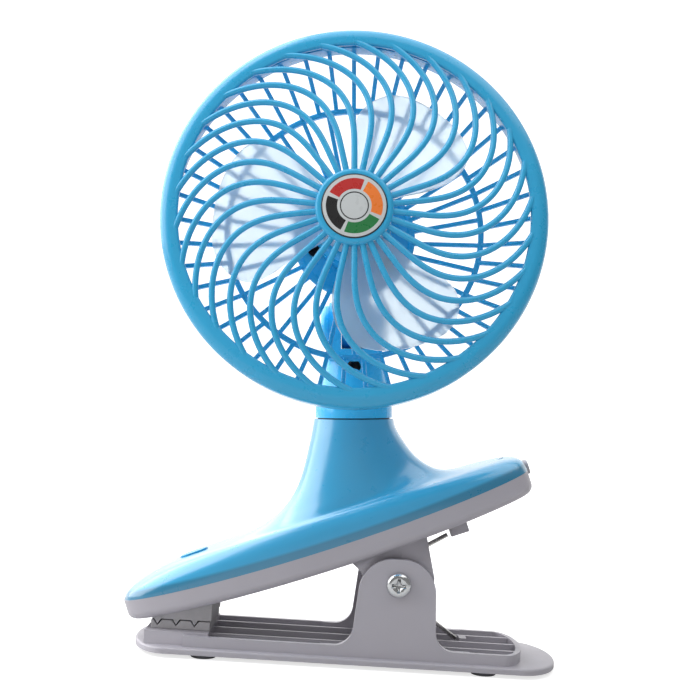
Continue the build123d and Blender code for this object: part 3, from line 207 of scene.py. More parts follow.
def finish_piece(piece, body, material, sharp):
    """Shades a piece smooth, gives it its material and slot, and lets it ride on a body, if any."""
    mesh = piece.data
    mesh.polygons.foreach_set("use_smooth", np.ones(len(mesh.polygons), bool))
    mesh.set_sharp_from_angle(angle=math.radians(sharp))
    mesh.materials.clear()
    mesh.materials.append(material)
    if body:
        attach(piece, body)


def joined_copy(node, body, material, soften=0.0, sharp=32):
    """A copy of a node with its loose triangles joined and its edges softened, in its place."""
    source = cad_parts[node]
    mesh = source.data.copy()
    mesh.name = node + "_skin"
    shape = bmesh.new()
    shape.from_mesh(mesh)
    bmesh.ops.remove_doubles(shape, verts=shape.verts, dist=2e-6)
    if soften:
        bmesh.ops.dissolve_limit(
            shape, angle_limit=math.radians(1.0), verts=shape.verts, edges=shape.edges
        )
    shape.to_mesh(mesh)
    shape.free()
    piece = bpy.data.objects.new(node + "_skin", mesh)
    bpy.context.scene.collection.objects.link(piece)
    finish_piece(piece, body, material, sharp)
    if soften:
        bevel = piece.modifiers.new("softened_edges", "BEVEL")
        bevel.width = soften
        bevel.segments = 2
        bevel.limit_method = "ANGLE"
        bevel.angle_limit = math.radians(sharp)
        bevel.harden_normals = True
    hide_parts(node)
    return piece


def turned_piece(name, outline, material, steps, closed=True, sharp=40):
    """A piece of the head: an outline of (radius, depth) turned about the fan's axis.

    A closed outline is a ring's section.  One that isn't starts and ends on the axis.
    """
    faces = grid_faces(steps, len(outline), wrap_rows=True, wrap_columns=closed)
    points = head_place(turned(outline, steps))
    return new_piece(name, points, faces, "head", material, sharp=sharp)


def barred_piece(name, line, section, count, material):
    """A piece of the head: a bar along a line, with closed ends, repeated about the fan's axis."""
    bar = carried(line, section, np.array([0, 0, 1.0]))
    rows, columns = bar.shape[:2]
    firsts = rows * columns * np.arange(count)
    faces = grid_faces(rows, columns, wrap_columns=True) + firsts[:, None, None]
    caps = [
        list(range(start, start + columns))
        for first in firsts.tolist() for start in (first, first + (rows - 1) * columns)
    ]
    points = head_place(spread_around(bar, count, first=90))
    return new_piece(
        name, points, faces.reshape(-1, 4), "head", material, caps=caps
    )


# ---- finishes ----
def finish(name, colour, roughness, **sockets):
    """A principled material with its own colour and roughness and any other sockets."""
    material = bpy.data.materials.new(name)
    material.use_nodes = True
    shader = material.node_tree.nodes["Principled BSDF"]
    shader.inputs["Base Color"].default_value = (*colour[:3], 1)
    shader.inputs["Roughness"].default_value = roughness
    for socket, value in sockets.items():
        shader.inputs[socket.replace("_", " ")].default_value = value
    return material


def add_node(material, kind, **settings):
    """A node in a material's tree with its settings and input values."""
    node = material.node_tree.nodes.new(kind)
    for key, value in settings.items():
        if key in node.inputs:
            node.inputs[key].default_value = value
        else:
            setattr(node, key, value)
    return node


def place_coordinates(material):
    """The coordinates in metres that a pattern on a piece reads."""
    return add_node(material, "ShaderNodeTexCoord").outputs["Object"]


def axes_of(material, vector):
    """The X, Y and Z of a vector."""
    split = add_node(material, "ShaderNodeSeparateXYZ")
    material.node_tree.links.new(vector, split.inputs["Vector"])
    return split.outputs


def maths(material, operation, *values):
    """The result of a maths node on numbers or on other nodes' outputs."""
    node = add_node(material, "ShaderNodeMath", operation=operation)
    for socket, value in zip(node.inputs, values):
        if hasattr(value, "is_output"):
            material.node_tree.links.new(value, socket)
        else:
            socket.default_value = value
    return node.outputs[0]


def noise(material, scale, detail=3.0, roughness=0.5, squeeze=None):
    """A noise pattern of a scale per metre, squeezed along each axis by squeeze."""
    link = material.node_tree.links.new
    where = place_coordinates(material)
    if squeeze:
        mapping = add_node(material, "ShaderNodeMapping", Scale=squeeze)
        link(where, mapping.inputs["Vector"])
        where = mapping.outputs["Vector"]
    pattern = add_node(material, "ShaderNodeTexNoise", Scale=scale, Detail=detail, Roughness=roughness)
    link(where, pattern.inputs["Vector"])
    return pattern.outputs["Fac"]


def spread(material, value, low, high, start=0.3, end=0.7):
    """A value between start and end spread out between low and high."""
    node = add_node(material, "ShaderNodeMapRange")
    node.inputs["From Min"].default_value = start
    node.inputs["From Max"].default_value = end
    node.inputs["To Min"].default_value = low
    node.inputs["To Max"].default_value = high
    material.node_tree.links.new(value, node.inputs["Value"])
    return node.outputs["Result"]


def mixed(material, amount, first, second):
    """A colour between two, by an amount."""
    node = add_node(material, "ShaderNodeMix", data_type="RGBA")
    link = material.node_tree.links.new
    link(amount, node.inputs["Factor"])
    for socket, colour in ((node.inputs[6], first), (node.inputs[7], second)):
        if hasattr(colour, "is_output"):
            link(colour, socket)
        else:
            socket.default_value = (*colour[:3], 1)
    return node.outputs[2]


def set_input(material, socket, value):
    """Feeds a value into the shader."""
    shader = material.node_tree.nodes["Principled BSDF"]
    material.node_tree.links.new(value, shader.inputs[socket])


def bumped(material, height, strength, distance):
    """A bump from a height pattern."""
    bump = add_node(material, "ShaderNodeBump", Strength=strength, Distance=distance)
    material.node_tree.links.new(height, bump.inputs["Height"])
    set_input(material, "Normal", bump.outputs["Normal"])


def shaded_colour(colour, factor):
    """A colour made darker or lighter by a factor."""
    return tuple(min(1.0, part * factor) for part in colour[:3])


def moulded(name, colour, roughness, coat, grain, coat_roughness=0.08, **sockets):
    """Moulded plastic: faint flow clouds in the colour, uneven gloss and a fine skin texture."""
    material = finish(
        name, colour, roughness, Coat_Weight=coat, Coat_Roughness=coat_roughness, IOR=1.5, **sockets
    )
    clouds = spread(material, noise(material, scale=28, detail=4), 0, 1)
    # The darker colour here is a random tone of the flow clouds.
    dark_cloud_and_painted_rim_shade, pale = shaded_colour(colour, 0.97), shaded_colour(colour, 1.02)
    set_input(material, "Base Color", mixed(material, clouds, dark_cloud_and_painted_rim_shade, pale))
    scuffs = noise(material, scale=160, detail=6, roughness=0.65)
    set_input(
        material, "Roughness", spread(material, scuffs, roughness - 0.04, roughness + 0.07)
    )
    bumped(material, noise(material, scale=2600, detail=2), strength=grain, distance=0.00005)
    return material


def rubbery(name, colour):
    """Soft rubber: dusty patches over a matt, slightly pebbled skin."""
    material = finish(name, colour, roughness=0.75)
    dust = noise(material, scale=90, detail=5, roughness=0.7)
    patches = spread(material, dust, 0, 1, start=0.4, end=0.75)
    set_input(material, "Base Color", mixed(material, patches, colour, shaded_colour(colour, 1.25)))
    set_input(material, "Roughness", spread(material, dust, 0.62, 0.88))
    bumped(material, noise(material, scale=1500, detail=3), strength=0.35, distance=0.0001)
    return material


def plated(name, colour, roughness, squeeze=(1, 1, 1)):
    """Plated or drawn steel: dull spots, and a grain that squeeze makes into fine lines."""
    material = finish(name, colour, roughness, Metallic=1.0)
    lines = noise(material, scale=900, detail=3, roughness=0.6, squeeze=squeeze)
    spots = noise(material, scale=240, detail=5, roughness=0.7)
    rough = spread(material, spots, roughness, roughness + 0.18, start=0.5, end=0.8)
    set_input(material, "Roughness", rough)
    dull = spread(material, spots, 0, 1, start=0.55, end=0.8)
    set_input(material, "Base Color", mixed(material, dull, colour, shaded_colour(colour, 0.72)))
    bumped(material, lines, strength=0.12, distance=0.00004)
    return material


# ---- what a user may change ----
def colour_setting(name, description, default):
    """A colour in linear light."""
    return bpy.props.FloatVectorProperty(
        name=name, description=description, subtype="COLOR", size=3, min=0, max=1, default=default
    )


def length_setting(name, description, default_mm):
    """A length, kept in metres."""
    return bpy.props.FloatProperty(
        name=name, description=description, default=default_mm * MM, unit="LENGTH", precision=5
    )


def angle_setting(name, description, default_degrees):
    """An angle, kept in radians."""
    return bpy.props.FloatProperty(
        name=name, description=description, default=math.radians(default_degrees),
        subtype="ANGLE", unit="ROTATION",
    )


class ClipFanSizes(bpy.types.PropertyGroup):
    """Sizes of the clip and the head that the new pieces and finishes are made to."""

    neck_lean: angle_setting("Neck lean", "Lean of the neck and head towards the toe", 3.5)
    head_tilt: angle_setting("Head tilt", "Lean of the fan's axis above level at rest", 7.2)
    head_forward: length_setting("Head forward", "From the tilt axis to the ring's widest plane", 60.3)
    head_rise: length_setting("Head rise", "From the tilt axis up to the fan's axis", 30.7)
    tilt_height: length_setting("Tilt axis height", "Height of the tilt axis", 132.0)
    coil_half_length: length_setting("Coil half", "Half the length of the spring's coil", 6.2)
    jaw_bow: length_setting("Parting bow", "Sag of the line between cover and housing", 4.2)
    # Height of the painted shade band along the cover's lower rim, measured up from the parting line.
    painted_rim_shade_height: length_setting("Rim height", "Height of the cover's rolled lower rim", 3.4)
    ring_radius: length_setting("Ring radius", "Largest radius of the front ring", 71.0)
    hub_radius: length_setting("Hub radius", "Radius of the grille's raised hub", 14.1)
    rib_radius: length_setting("Rib radius", "Radius of a swept front rib", 1.15)
    rib_sweep: angle_setting("Rib sweep", "Swing of a front rib from hub to ring", 25.8)
    front_ribs: bpy.props.IntProperty(name="Front ribs", description="Swept ribs in front", default=30)
    outer_ribs: bpy.props.IntProperty(name="Outer ribs", description="Rear ribs outside", default=45)
    inner_ribs: bpy.props.IntProperty(name="Inner ribs", description="Rear ribs inside", default=30)


class ClipFanLooks(bpy.types.PropertyGroup):
    """Colours of the finishes, in linear light."""

    blue: colour_setting("Blue plastic", "Cover, button, rings and front ribs", (0.026, 0.375, 0.665))
    # Lighter than the blue above: painted light on the parts inside the cage, which the cage shades.
    rear_blue_painted_light: colour_setting("Blue plastic behind", "Stem, rear ribs and plate", (0.030, 0.500, 0.900))
    grey: colour_setting("Grey plastic", "Housing and lower jaw", (0.430, 0.412, 0.455))
    rubber: colour_setting("Rubber grips", "Toothed grips", (0.400, 0.390, 0.405))
    feet: colour_setting("Rubber feet", "Feet under the lower jaw", (0.110, 0.110, 0.120))
    blades: colour_setting("Blades", "Frosted blades", (0.780, 0.870, 0.930))
    chrome: colour_setting("Plated screws", "Pivot and tilt bolts", (0.720, 0.730, 0.740))
    steel: colour_setting("Spring steel", "The clip's spring", (0.640, 0.630, 0.610))
    bright: colour_setting("Bright steel", "Motor, contacts and socket", (0.550, 0.550, 0.560))
    dark: colour_setting("Dark screws", "Small blackened screws", (0.012, 0.012, 0.014))
    black: colour_setting("Black plastic", "Washer, retainer and switch", (0.020, 0.020, 0.022))
    sleeve: colour_setting("Cell sleeve", "Shrink sleeve of the cell", (0.600, 0.100, 0.020))
    board: colour_setting("Circuit board", "Lacquered boards", (0.010, 0.090, 0.030))
    lens: colour_setting("Lamp lens", "Lens of the charging lamp", (0.800, 0.900, 0.950))
    floor: colour_setting("Floor", "Paper of the studio's floor", (0.550, 0.550, 0.550))
    badge_silver: colour_setting("Badge silver", "Ground of the badge", (0.560, 0.590, 0.600))
    badge_orange: colour_setting("Badge orange", "First colour of the ring", (0.850, 0.200, 0.025))
    badge_red: colour_setting("Badge red", "Second colour of the ring", (0.480, 0.022, 0.020))
    badge_black: colour_setting("Badge black", "Third colour and the lines", (0.012, 0.012, 0.013))
    badge_green: colour_setting("Badge green", "Fourth colour of the ring", (0.015, 0.190, 0.050))


# ---- the fan's own finishes ----
def looks():
    """The chosen colours."""
    return bpy.context.scene.clip_fan_looks


def shared(make):
    """Makes a finish once, when it is first asked for, and names it after its function."""
    name = "fan_" + make.__name__

    @functools.wraps(make)
    def made_once():
        return bpy.data.materials.get(name) or make(name)

    return made_once


@shared
def blue_plastic(name):
    """Blue plastic of the rings, the front ribs and the button."""
    return moulded(name, looks().blue, roughness=0.28, coat=0.28, grain=0.04)


@shared
def rear_plastic_painted_light(name):
    """Blue plastic of the stem, the rear ribs, the plate and the motor's cup, lighter than the front
    blue: painted light that makes up for the shade the cage casts on the parts inside.
    """
    return moulded(name, looks().rear_blue_painted_light, roughness=0.26, coat=0.40, grain=0.08)


@shared
def cover_plastic(name):
    """Blue plastic of the cover, with painted shade: a darker band along its lower rim, which is rolled
    under, stands in for the rim's shadow.

    With s along the jaw and h above its chord, the parting line lies at -bow (1 - (s / half)^2),
    and the painted shade stops where h passes that line by the rim's height.
    """
    colour, sizes = looks().blue, bpy.context.scene.clip_fan_sizes
    material = moulded(
        name, colour, roughness=0.30, coat=1.0, grain=0.03, coat_roughness=0.22, Coat_IOR=1.7
    )
    toe, tail = np.array(JAW_TOE) * MM, np.array(JAW_TAIL) * MM
    middle, half = (toe + tail) / 2, np.linalg.norm(tail - toe) / 2
    slope = math.atan2(tail[1] - toe[1], tail[0] - toe[0])
    chord = add_node(
        material, "ShaderNodeMapping", vector_type="TEXTURE",
        Location=(middle[0], 0, middle[1]), Rotation=(0, -slope, 0),
    )
    material.node_tree.links.new(place_coordinates(material), chord.inputs["Vector"])
    place = axes_of(material, chord.outputs["Vector"])
    share = maths(material, "DIVIDE", place["X"], half)
    squared = maths(material, "MULTIPLY", share, share)
    height = maths(material, "MULTIPLY_ADD", squared, -sizes.jaw_bow, place["Z"])
    # Below this edge the cover's colour is darkened: painted shade of the rolled rim.
    edge, blur = sizes.painted_rim_shade_height - sizes.jaw_bow, 0.0006
    above_painted_rim_shade = spread(material, height, 0, 1, start=edge - blur, end=edge + blur)
    colour_socket = material.node_tree.nodes["Principled BSDF"].inputs["Base Color"]
    # The darker colour is painted shade, not a tone of the plastic.
    plain, dark_cloud_and_painted_rim_shade = colour_socket.links[0].from_socket, shaded_colour(colour, 0.55)
    set_input(material, "Base Color", mixed(material, above_painted_rim_shade, dark_cloud_and_painted_rim_shade, plain))
    return material


@shared
def grey_plastic(name):
    """Grey plastic of the housing and the lower jaw."""
    return moulded(name, looks().grey, roughness=0.42, coat=0.12, grain=0.16)


@shared
def black_plastic(name):
    """Black plastic of the washer, the retainer and the switch."""
    return moulded(name, looks().black, roughness=0.5, coat=0.05, grain=0.2)


@shared
def cell_sleeve(name):
    """Shrink sleeve round the cell."""
    return moulded(name, looks().sleeve, roughness=0.3, coat=0.5, grain=0.05)


@shared
def grip_rubber(name):
    """Rubber of the toothed grips."""
    return rubbery(name, looks().rubber)


@shared
def foot_rubber(name):
    """Rubber of the feet."""
    return rubbery(name, looks().feet)


@shared
def plated_screw(name):
    """Bright plating of the pivot screw and the tilt bolt."""
    return plated(name, looks().chrome, roughness=0.16, squeeze=(1, 6, 6))


@shared
def bright_steel(name):
    """Plated sheet of the motor, the contacts and the socket."""
    return plated(name, looks().bright, roughness=0.22, squeeze=(1, 1, 5))


@shared
def spring_wire(name):
    """Drawn wire of the spring."""
    return plated(name, looks().steel, roughness=0.26)


@shared
def dark_screw(name):
    """Blackened steel of the small screws."""
    return plated(name, looks().dark, roughness=0.35)


@shared
def lamp_lens(name):
    """Clear lens of the charging lamp."""
    return finish(name, looks().lens, roughness=0.12, Transmission_Weight=0.8, IOR=1.49)


@shared
def frosted_blades(name):
    """Frosted clear plastic of the blades: light passes, but blurred, with a milky body."""
    colour = looks().blades
    material = finish(
        name, colour, roughness=0.30, Transmission_Weight=0.60, IOR=1.12,
        Coat_Weight=0.1, Coat_Roughness=0.2,
    )
    milk = spread(material, noise(material, scale=60, detail=3), 0, 1)
    set_input(material, "Base Color", mixed(material, milk, shaded_colour(colour, 0.96), colour))
    frost = noise(material, scale=300, detail=4)
    set_input(material, "Roughness", spread(material, frost, 0.30, 0.42))
    bumped(material, noise(material, scale=2200, detail=2), strength=0.03, distance=0.00003)
    return material


@shared
def circuit_board(name):
    """A lacquered circuit board with faint copper tracks under the lacquer."""
    colour = looks().board
    material = finish(name, colour, roughness=0.35, Coat_Weight=0.6)
    wave = add_node(material, "ShaderNodeTexWave", Scale=420.0, Distortion=6.0, Detail=2.0)
    material.node_tree.links.new(place_coordinates(material), wave.inputs["Vector"])
    tracks = spread(material, wave.outputs["Fac"], 0, 1, start=0.45, end=0.6)
    set_input(material, "Base Color", mixed(material, tracks, colour, shaded_colour(colour, 1.8)))
    return material


@shared
def printed_badge(name):
    """A silver disc with a plain centre, a ring of four flat colours, and thin dark lines.

    The piece's own map runs from 0 to 1 across the disc.  With r as a share of the disc's radius,
    the ring and the line inside it are bands of r, and the ring's colour changes with each quarter
    turn, with silver between the quarters.
    """
    ring_middle, ring_half_width = 0.69, 0.17
    line_middle, line_half_width = 0.42, 0.018
    rim_inside = 0.965
    clockwise = 0.07            # from the right to where the first colour starts, in turns
    coloured_share = 0.91       # of each quarter turn
    colours = looks()
    quarters = [colours.badge_orange, colours.badge_red, colours.badge_black, colours.badge_green]
    material = finish(
        name, colours.badge_silver, roughness=0.3, Coat_Weight=0.7, Coat_Roughness=0.05
    )
    result = functools.partial(maths, material)
    where = axes_of(material, add_node(material, "ShaderNodeUVMap", uv_map="disc").outputs["UV"])
    x, y = result("SUBTRACT", where["X"], 0.5), result("SUBTRACT", where["Y"], 0.5)
    away = result("SQRT", result("MULTIPLY_ADD", x, x, result("MULTIPLY", y, y)))
    radius = result("MULTIPLY", away, 2.0)
    angle = result("DIVIDE", result("ARCTAN2", y, x), 2 * math.pi)
    turn = result("FRACT", result("ADD", angle, 1 + clockwise))
    ramp = add_node(material, "ShaderNodeValToRGB")
    ramp.color_ramp.interpolation = "CONSTANT"
    stops = ramp.color_ramp.elements
    for index, colour in enumerate(quarters):
        start = index / len(quarters)
        stop = stops[index] if index < len(stops) else stops.new(start)
        stop.position = start
        stop.color = (*colour, 1)
    material.node_tree.links.new(turn, ramp.inputs["Fac"])
    quarter = result("FRACT", result("MULTIPLY", turn, len(quarters)))
    in_quarter = result("COMPARE", quarter, 0.5, coloured_share / 2)
    in_ring = result("COMPARE", radius, ring_middle, ring_half_width)
    printed = result("MULTIPLY", in_ring, in_quarter)
    on_line = result("COMPARE", radius, line_middle, line_half_width)
    dark = result("MAXIMUM", on_line, result("GREATER_THAN", radius, rim_inside))
    print_colour = mixed(material, printed, colours.badge_silver, ramp.outputs["Color"])
    set_input(material, "Base Color", mixed(material, dark, print_colour, colours.badge_black))
    gloss = noise(material, scale=400, detail=4)
    set_input(material, "Roughness", spread(material, gloss, 0.24, 0.36))
    bumped(material, printed, strength=0.25, distance=0.00003)
    return material


# ---- pieces ----
class ClipFanOperator(bpy.types.Operator):
    """Shared base of the pieces."""

    bl_options = {"REGISTER", "UNDO"}


class CLIPFAN_OT_lower_jaw(ClipFanOperator):
    """Make the grey lower jaw and its rubber feet."""

    bl_idname = "clip_fan.lower_jaw"
    bl_label = "Lower jaw"

    def execute(self, context):
        joined_copy("lower_jaw", "lower_jaw", grey_plastic(), soften=0.0004)
        joined_copy("rubber_feet", "lower_jaw", foot_rubber())
        return {"FINISHED"}


class CLIPFAN_OT_grips(ClipFanOperator):
    """Make the two toothed rubber grips."""

    bl_idname = "clip_fan.grips"
    bl_label = "Grips"

    def execute(self, context):
        joined_copy("lower_grip", "lower_jaw", grip_rubber(), soften=0.0003)
        joined_copy("upper_grip", "upper_jaw", grip_rubber(), soften=0.0003)
        return {"FINISHED"}


class CLIPFAN_OT_pivot(ClipFanOperator):
    """Make the pivot screw, its nut and the spring."""

    bl_idname = "clip_fan.pivot"
    bl_label = "Pivot and spring"

    def execute(self, context):
        joined_copy("pivot_bolt", "lower_jaw", plated_screw())
        joined_copy("pivot_nut", "lower_jaw", plated_screw(), soften=0.0002)
        spring = joined_copy("clip_spring", None, spring_wire())
        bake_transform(spring)
        return {"FINISHED"}


class CLIPFAN_OT_upper_jaw(ClipFanOperator):
    """Make the grey housing and the blue cover with its button and lamp."""

    bl_idname = "clip_fan.upper_jaw"
    bl_label = "Upper jaw"

    def execute(self, context):
        joined_copy("jaw_housing", "upper_jaw", grey_plastic())
        joined_copy("top_cover", "upper_jaw", cover_plastic())
        joined_copy("power_button", "button", blue_plastic(), soften=0.0003)
        joined_copy("lamp_lens", "upper_jaw", lamp_lens())
        joined_copy("case_screws", "upper_jaw", dark_screw())
        return {"FINISHED"}


class CLIPFAN_OT_inside(ClipFanOperator):
    """Finish the cell, boards, contacts, switch and socket inside the upper jaw."""

    bl_idname = "clip_fan.inside"
    bl_label = "Inside parts"

    def execute(self, context):
        finishes = (
            ("battery_cell", cell_sleeve(), "cell_sleeve"),
            ("charge_board", circuit_board(), "circuit_board"),
            ("switch_board", circuit_board(), "circuit_board"),
            ("tact_switch", black_plastic(), "black_plastic"),
            ("cell_contacts", bright_steel(), "bright_steel"),
            ("charge_socket", bright_steel(), "bright_steel"),
        )
        for node, material, slot in finishes:
            joined_copy(node, "upper_jaw", material)
        return {"FINISHED"}


class CLIPFAN_OT_stem(ClipFanOperator):
    """Make the stem's halves, the washer, the tilt bolt with its caps and the hidden screws."""

    bl_idname = "clip_fan.stem"
    bl_label = "Stem"

    def execute(self, context):
        for node in ("stem_front", "stem_rear", "tilt_caps"):
            joined_copy(node, "stem", rear_plastic_painted_light(), soften=0.0003)
        for node in ("swivel_washer", "retainer_ring"):
            joined_copy(node, "stem", black_plastic())
        for node in ("retainer_screws", "stem_screw"):
            joined_copy(node, "stem", dark_screw())
        for node in ("tilt_bolt", "tilt_nut"):
            joined_copy(node, "stem", plated_screw())
        return {"FINISHED"}


class CLIPFAN_OT_front_ring(ClipFanOperator):
    """Make the front ring: a rolled lip turned about the fan's axis."""

    bl_idname = "clip_fan.front_ring"
    bl_label = "Front ring"

    def execute(self, context):
        outer = context.scene.clip_fan_sizes.ring_radius / MM
        lip_front, lip_back = 4.6, 2.2
        wall, draft = 2.0, 0.5
        corners = [
            (outer - draft, RING_SEAM), (outer, 0), (outer, lip_front), (outer - LIP_WIDTH, lip_front),
            (outer - LIP_WIDTH, lip_back), (outer - wall, lip_back), (outer - wall, RING_SEAM),
        ]
        outline = rounded_outline(corners, [0.25, 0, 4.5, 0.9, 0.9, 2.8, 0.2], steps=9)
        piece = turned_piece("front_ring_skin", outline, blue_plastic(), steps=180, sharp=50)
        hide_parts("front_ring")
        return {"FINISHED"}


class CLIPFAN_OT_front_grille(ClipFanOperator):
    """Make the raised hub and the swept front ribs."""

    bl_idname = "clip_fan.front_grille"
    bl_label = "Front grille"

    def rib(self, sizes):
        """One rib's line, from the hub out to the lip.

        Past the radius where its sweep starts, it turns by sweep ((r - start) / length)^power.  Its
        depth is crown - fall share^power, with share from 0 at the hub to 1 at the lip.
        """
        sweep_start, sweep_length, sweep_power = 23, 37, 2.35
        crown, fall, fall_power = 10.5, 7.0, 2.2
        buried = 1.3                # how far each end runs into the hub or the lip
        hub, lip = sizes.hub_radius / MM, sizes.ring_radius / MM - LIP_WIDTH
        radius = np.linspace(hub - buried, lip + buried, 40)
        past_start = np.clip(radius - sweep_start, 0, None) / sweep_length
        turn = sizes.rib_sweep * past_start ** sweep_power
        share = (radius - radius[0]) / (radius[-1] - radius[0])
        depth = crown - fall * share ** fall_power
        return np.stack([radius * np.cos(turn), radius * np.sin(turn), depth], -1)

    def hub(self, sizes):
        """The hub's outline: a thick disc with a raised rim round the badge's seat."""
        radius = sizes.hub_radius / MM
        back, front, rim = 8.3, 12.7, 2.24
        corners = [
            (0.0, back), (radius, back), (radius, front), (radius - rim, front),
            (radius - rim, BADGE_SEAT), (0.0, BADGE_SEAT),
        ]
        return rounded_outline(corners, [0, 0.5, 1.4, 0.15, 0.05, 0], steps=7)

    def execute(self, context):
        sizes = context.scene.clip_fan_sizes
        section = round_section(sizes.rib_radius / MM, sides=14)
        ribs = barred_piece("front_ribs", self.rib(sizes), section, sizes.front_ribs, blue_plastic())
        turned_piece("front_hub", self.hub(sizes), blue_plastic(), steps=96, closed=False)
        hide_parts("front_grille")
        return {"FINISHED"}


class CLIPFAN_OT_badge(ClipFanOperator):
    """Make the round badge with its ring of four flat colours."""

    bl_idname = "clip_fan.badge"
    bl_label = "Badge"

    def lay_map(self, piece):
        """Lays a map over the piece, from 0 to 1 across the badge as seen along the fan's axis."""
        mesh = piece.data
        corners = np.zeros(len(mesh.vertices) * 3)
        mesh.vertices.foreach_get("co", corners)
        seats = [[0, 0, BADGE_SEAT], [1, 0, BADGE_SEAT], [0, 1, BADGE_SEAT]]
        centre, right, above = head_place(seats)
        axes = np.stack([right - centre, above - centre], -1) / MM ** 2
        spots = (corners.reshape(-1, 3) - centre) @ axes / (2 * BADGE_RADIUS) + 0.5
        indices = np.zeros(len(mesh.loops), int)
        mesh.loops.foreach_get("vertex_index", indices)
        layer = mesh.uv_layers.new(name="disc")
        layer.data.foreach_set("uv", spots[indices].ravel())

    def execute(self, context):
        edge, crown = BADGE_SEAT + 0.8, BADGE_SEAT + 0.9
        corners = [(0.0, BADGE_SEAT), (BADGE_RADIUS, BADGE_SEAT), (BADGE_RADIUS, edge), (0.0, crown)]
        outline = rounded_outline(corners, [0, 0.1, 0.25, 0], steps=5)
        piece = turned_piece(
            "badge_plate", outline, printed_badge(), steps=96, closed=False
        )
        self.lay_map(piece)
        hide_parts("badge_disc")
        return {"FINISHED"}


class CLIPFAN_OT_rear_ring(ClipFanOperator):
    """Make the rear ring with its spigot."""

    bl_idname = "clip_fan.rear_ring"
    bl_label = "Rear ring"

    def execute(self, context):
        inset, wall, spigot_wall, draft = 0.6, 3.2, 1.6, 0.3
        spigot_front, back = -6, -13
        outer = context.scene.clip_fan_sizes.ring_radius / MM - inset
        corners = [
            (outer - wall, spigot_front), (outer - spigot_wall, spigot_front),
            (outer - spigot_wall, RING_SEAM), (outer, RING_SEAM), (outer - draft, back),
            (outer - wall, back),
        ]
        outline = rounded_outline(corners, [0.2, 0.3, 0, 0.3, 1.2, 0.6], steps=7)
        piece = turned_piece("rear_ring_skin", outline, blue_plastic(), steps=180, sharp=50)
        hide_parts("rear_ring")
        return {"FINISHED"}


class CLIPFAN_OT_rear_grille(ClipFanOperator):
    """Make the rear ribs, the middle ring and the round plate with its screws."""

    bl_idname = "clip_fan.rear_grille"
    bl_label = "Rear grille"

    def ribs(self, name, start, end, count):
        """Straight ribs with soft corners: start + (end - start) s, in radius and depth."""
        share = np.linspace(0, 1, 6)[:, None]
        line = (1 - share) * np.array([start[0], 0, start[1]]) + share * np.array([end[0], 0, end[1]])
        section = soft_box_section(width=1.7, height=2.0, power=5, sides=16)
        barred_piece(name, line, section, count, rear_plastic_painted_light())

    def band(self, middle):
        """The outline of the ring between outer and inner ribs: a soft box round its middle."""
        half_width, half_depth = 1.1, 1.2
        corners = [
            (middle[0] + across * half_width, middle[1] + along * half_depth)
            for across, along in ((-1, -1), (1, -1), (1, 1), (-1, 1))
        ]
        return rounded_outline(corners, [0.5] * 4, steps=5)

    def plate(self):
        """The plate's outline: a flat disc with a low rim."""
        radius, rim, slope = 24.0, 2.1, 0.7
        back, floor, rim_front = -34.7, -32.9, -32.5
        corners = [
            (0.0, back), (radius, back), (radius, rim_front), (radius - rim, rim_front),
            (radius - rim - slope, floor), (0.0, floor),
        ]
        return rounded_outline(corners, [0, 0.4, 0.6, 0.3, 0.3, 0], steps=5)

    def execute(self, context):
        sizes = context.scene.clip_fan_sizes
        # Radius and depth of the ends of the ribs.
        at_ring, at_band, at_plate = (68.4, -12.0), (49.0, -25.5), (22.7, -33.6)
        self.ribs("rear_outer_ribs", at_ring, at_band, sizes.outer_ribs)
        self.ribs("rear_inner_ribs", at_band, at_plate, sizes.inner_ribs)
        turned_piece("rear_middle_ring", self.band(at_band), rear_plastic_painted_light(), steps=144)
        piece = turned_piece("rear_plate", self.plate(), rear_plastic_painted_light(), steps=120, closed=False)
        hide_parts("rear_grille")
        joined_copy("plate_screws", "head", dark_screw())
        joined_copy("hinge_bracket", "head", rear_plastic_painted_light(), soften=0.0004)
        return {"FINISHED"}


class CLIPFAN_OT_motor(ClipFanOperator):
    """Make the motor's cup and finish the can and shaft."""

    bl_idname = "clip_fan.motor"
    bl_label = "Motor"

    def execute(self, context):
        joined_copy("motor_cup", "head", rear_plastic_painted_light())
        joined_copy("motor_can", "head", bright_steel())
        joined_copy("motor_shaft", "impeller", bright_steel())
        return {"FINISHED"}


class CLIPFAN_OT_impeller(ClipFanOperator):
    """Make the frosted hub and its three twisted blades."""

    bl_idname = "clip_fan.impeller"
    bl_label = "Impeller"

    def execute(self, context):
        joined_copy("impeller", "impeller", frosted_blades(), sharp=35)
        return {"FINISHED"}


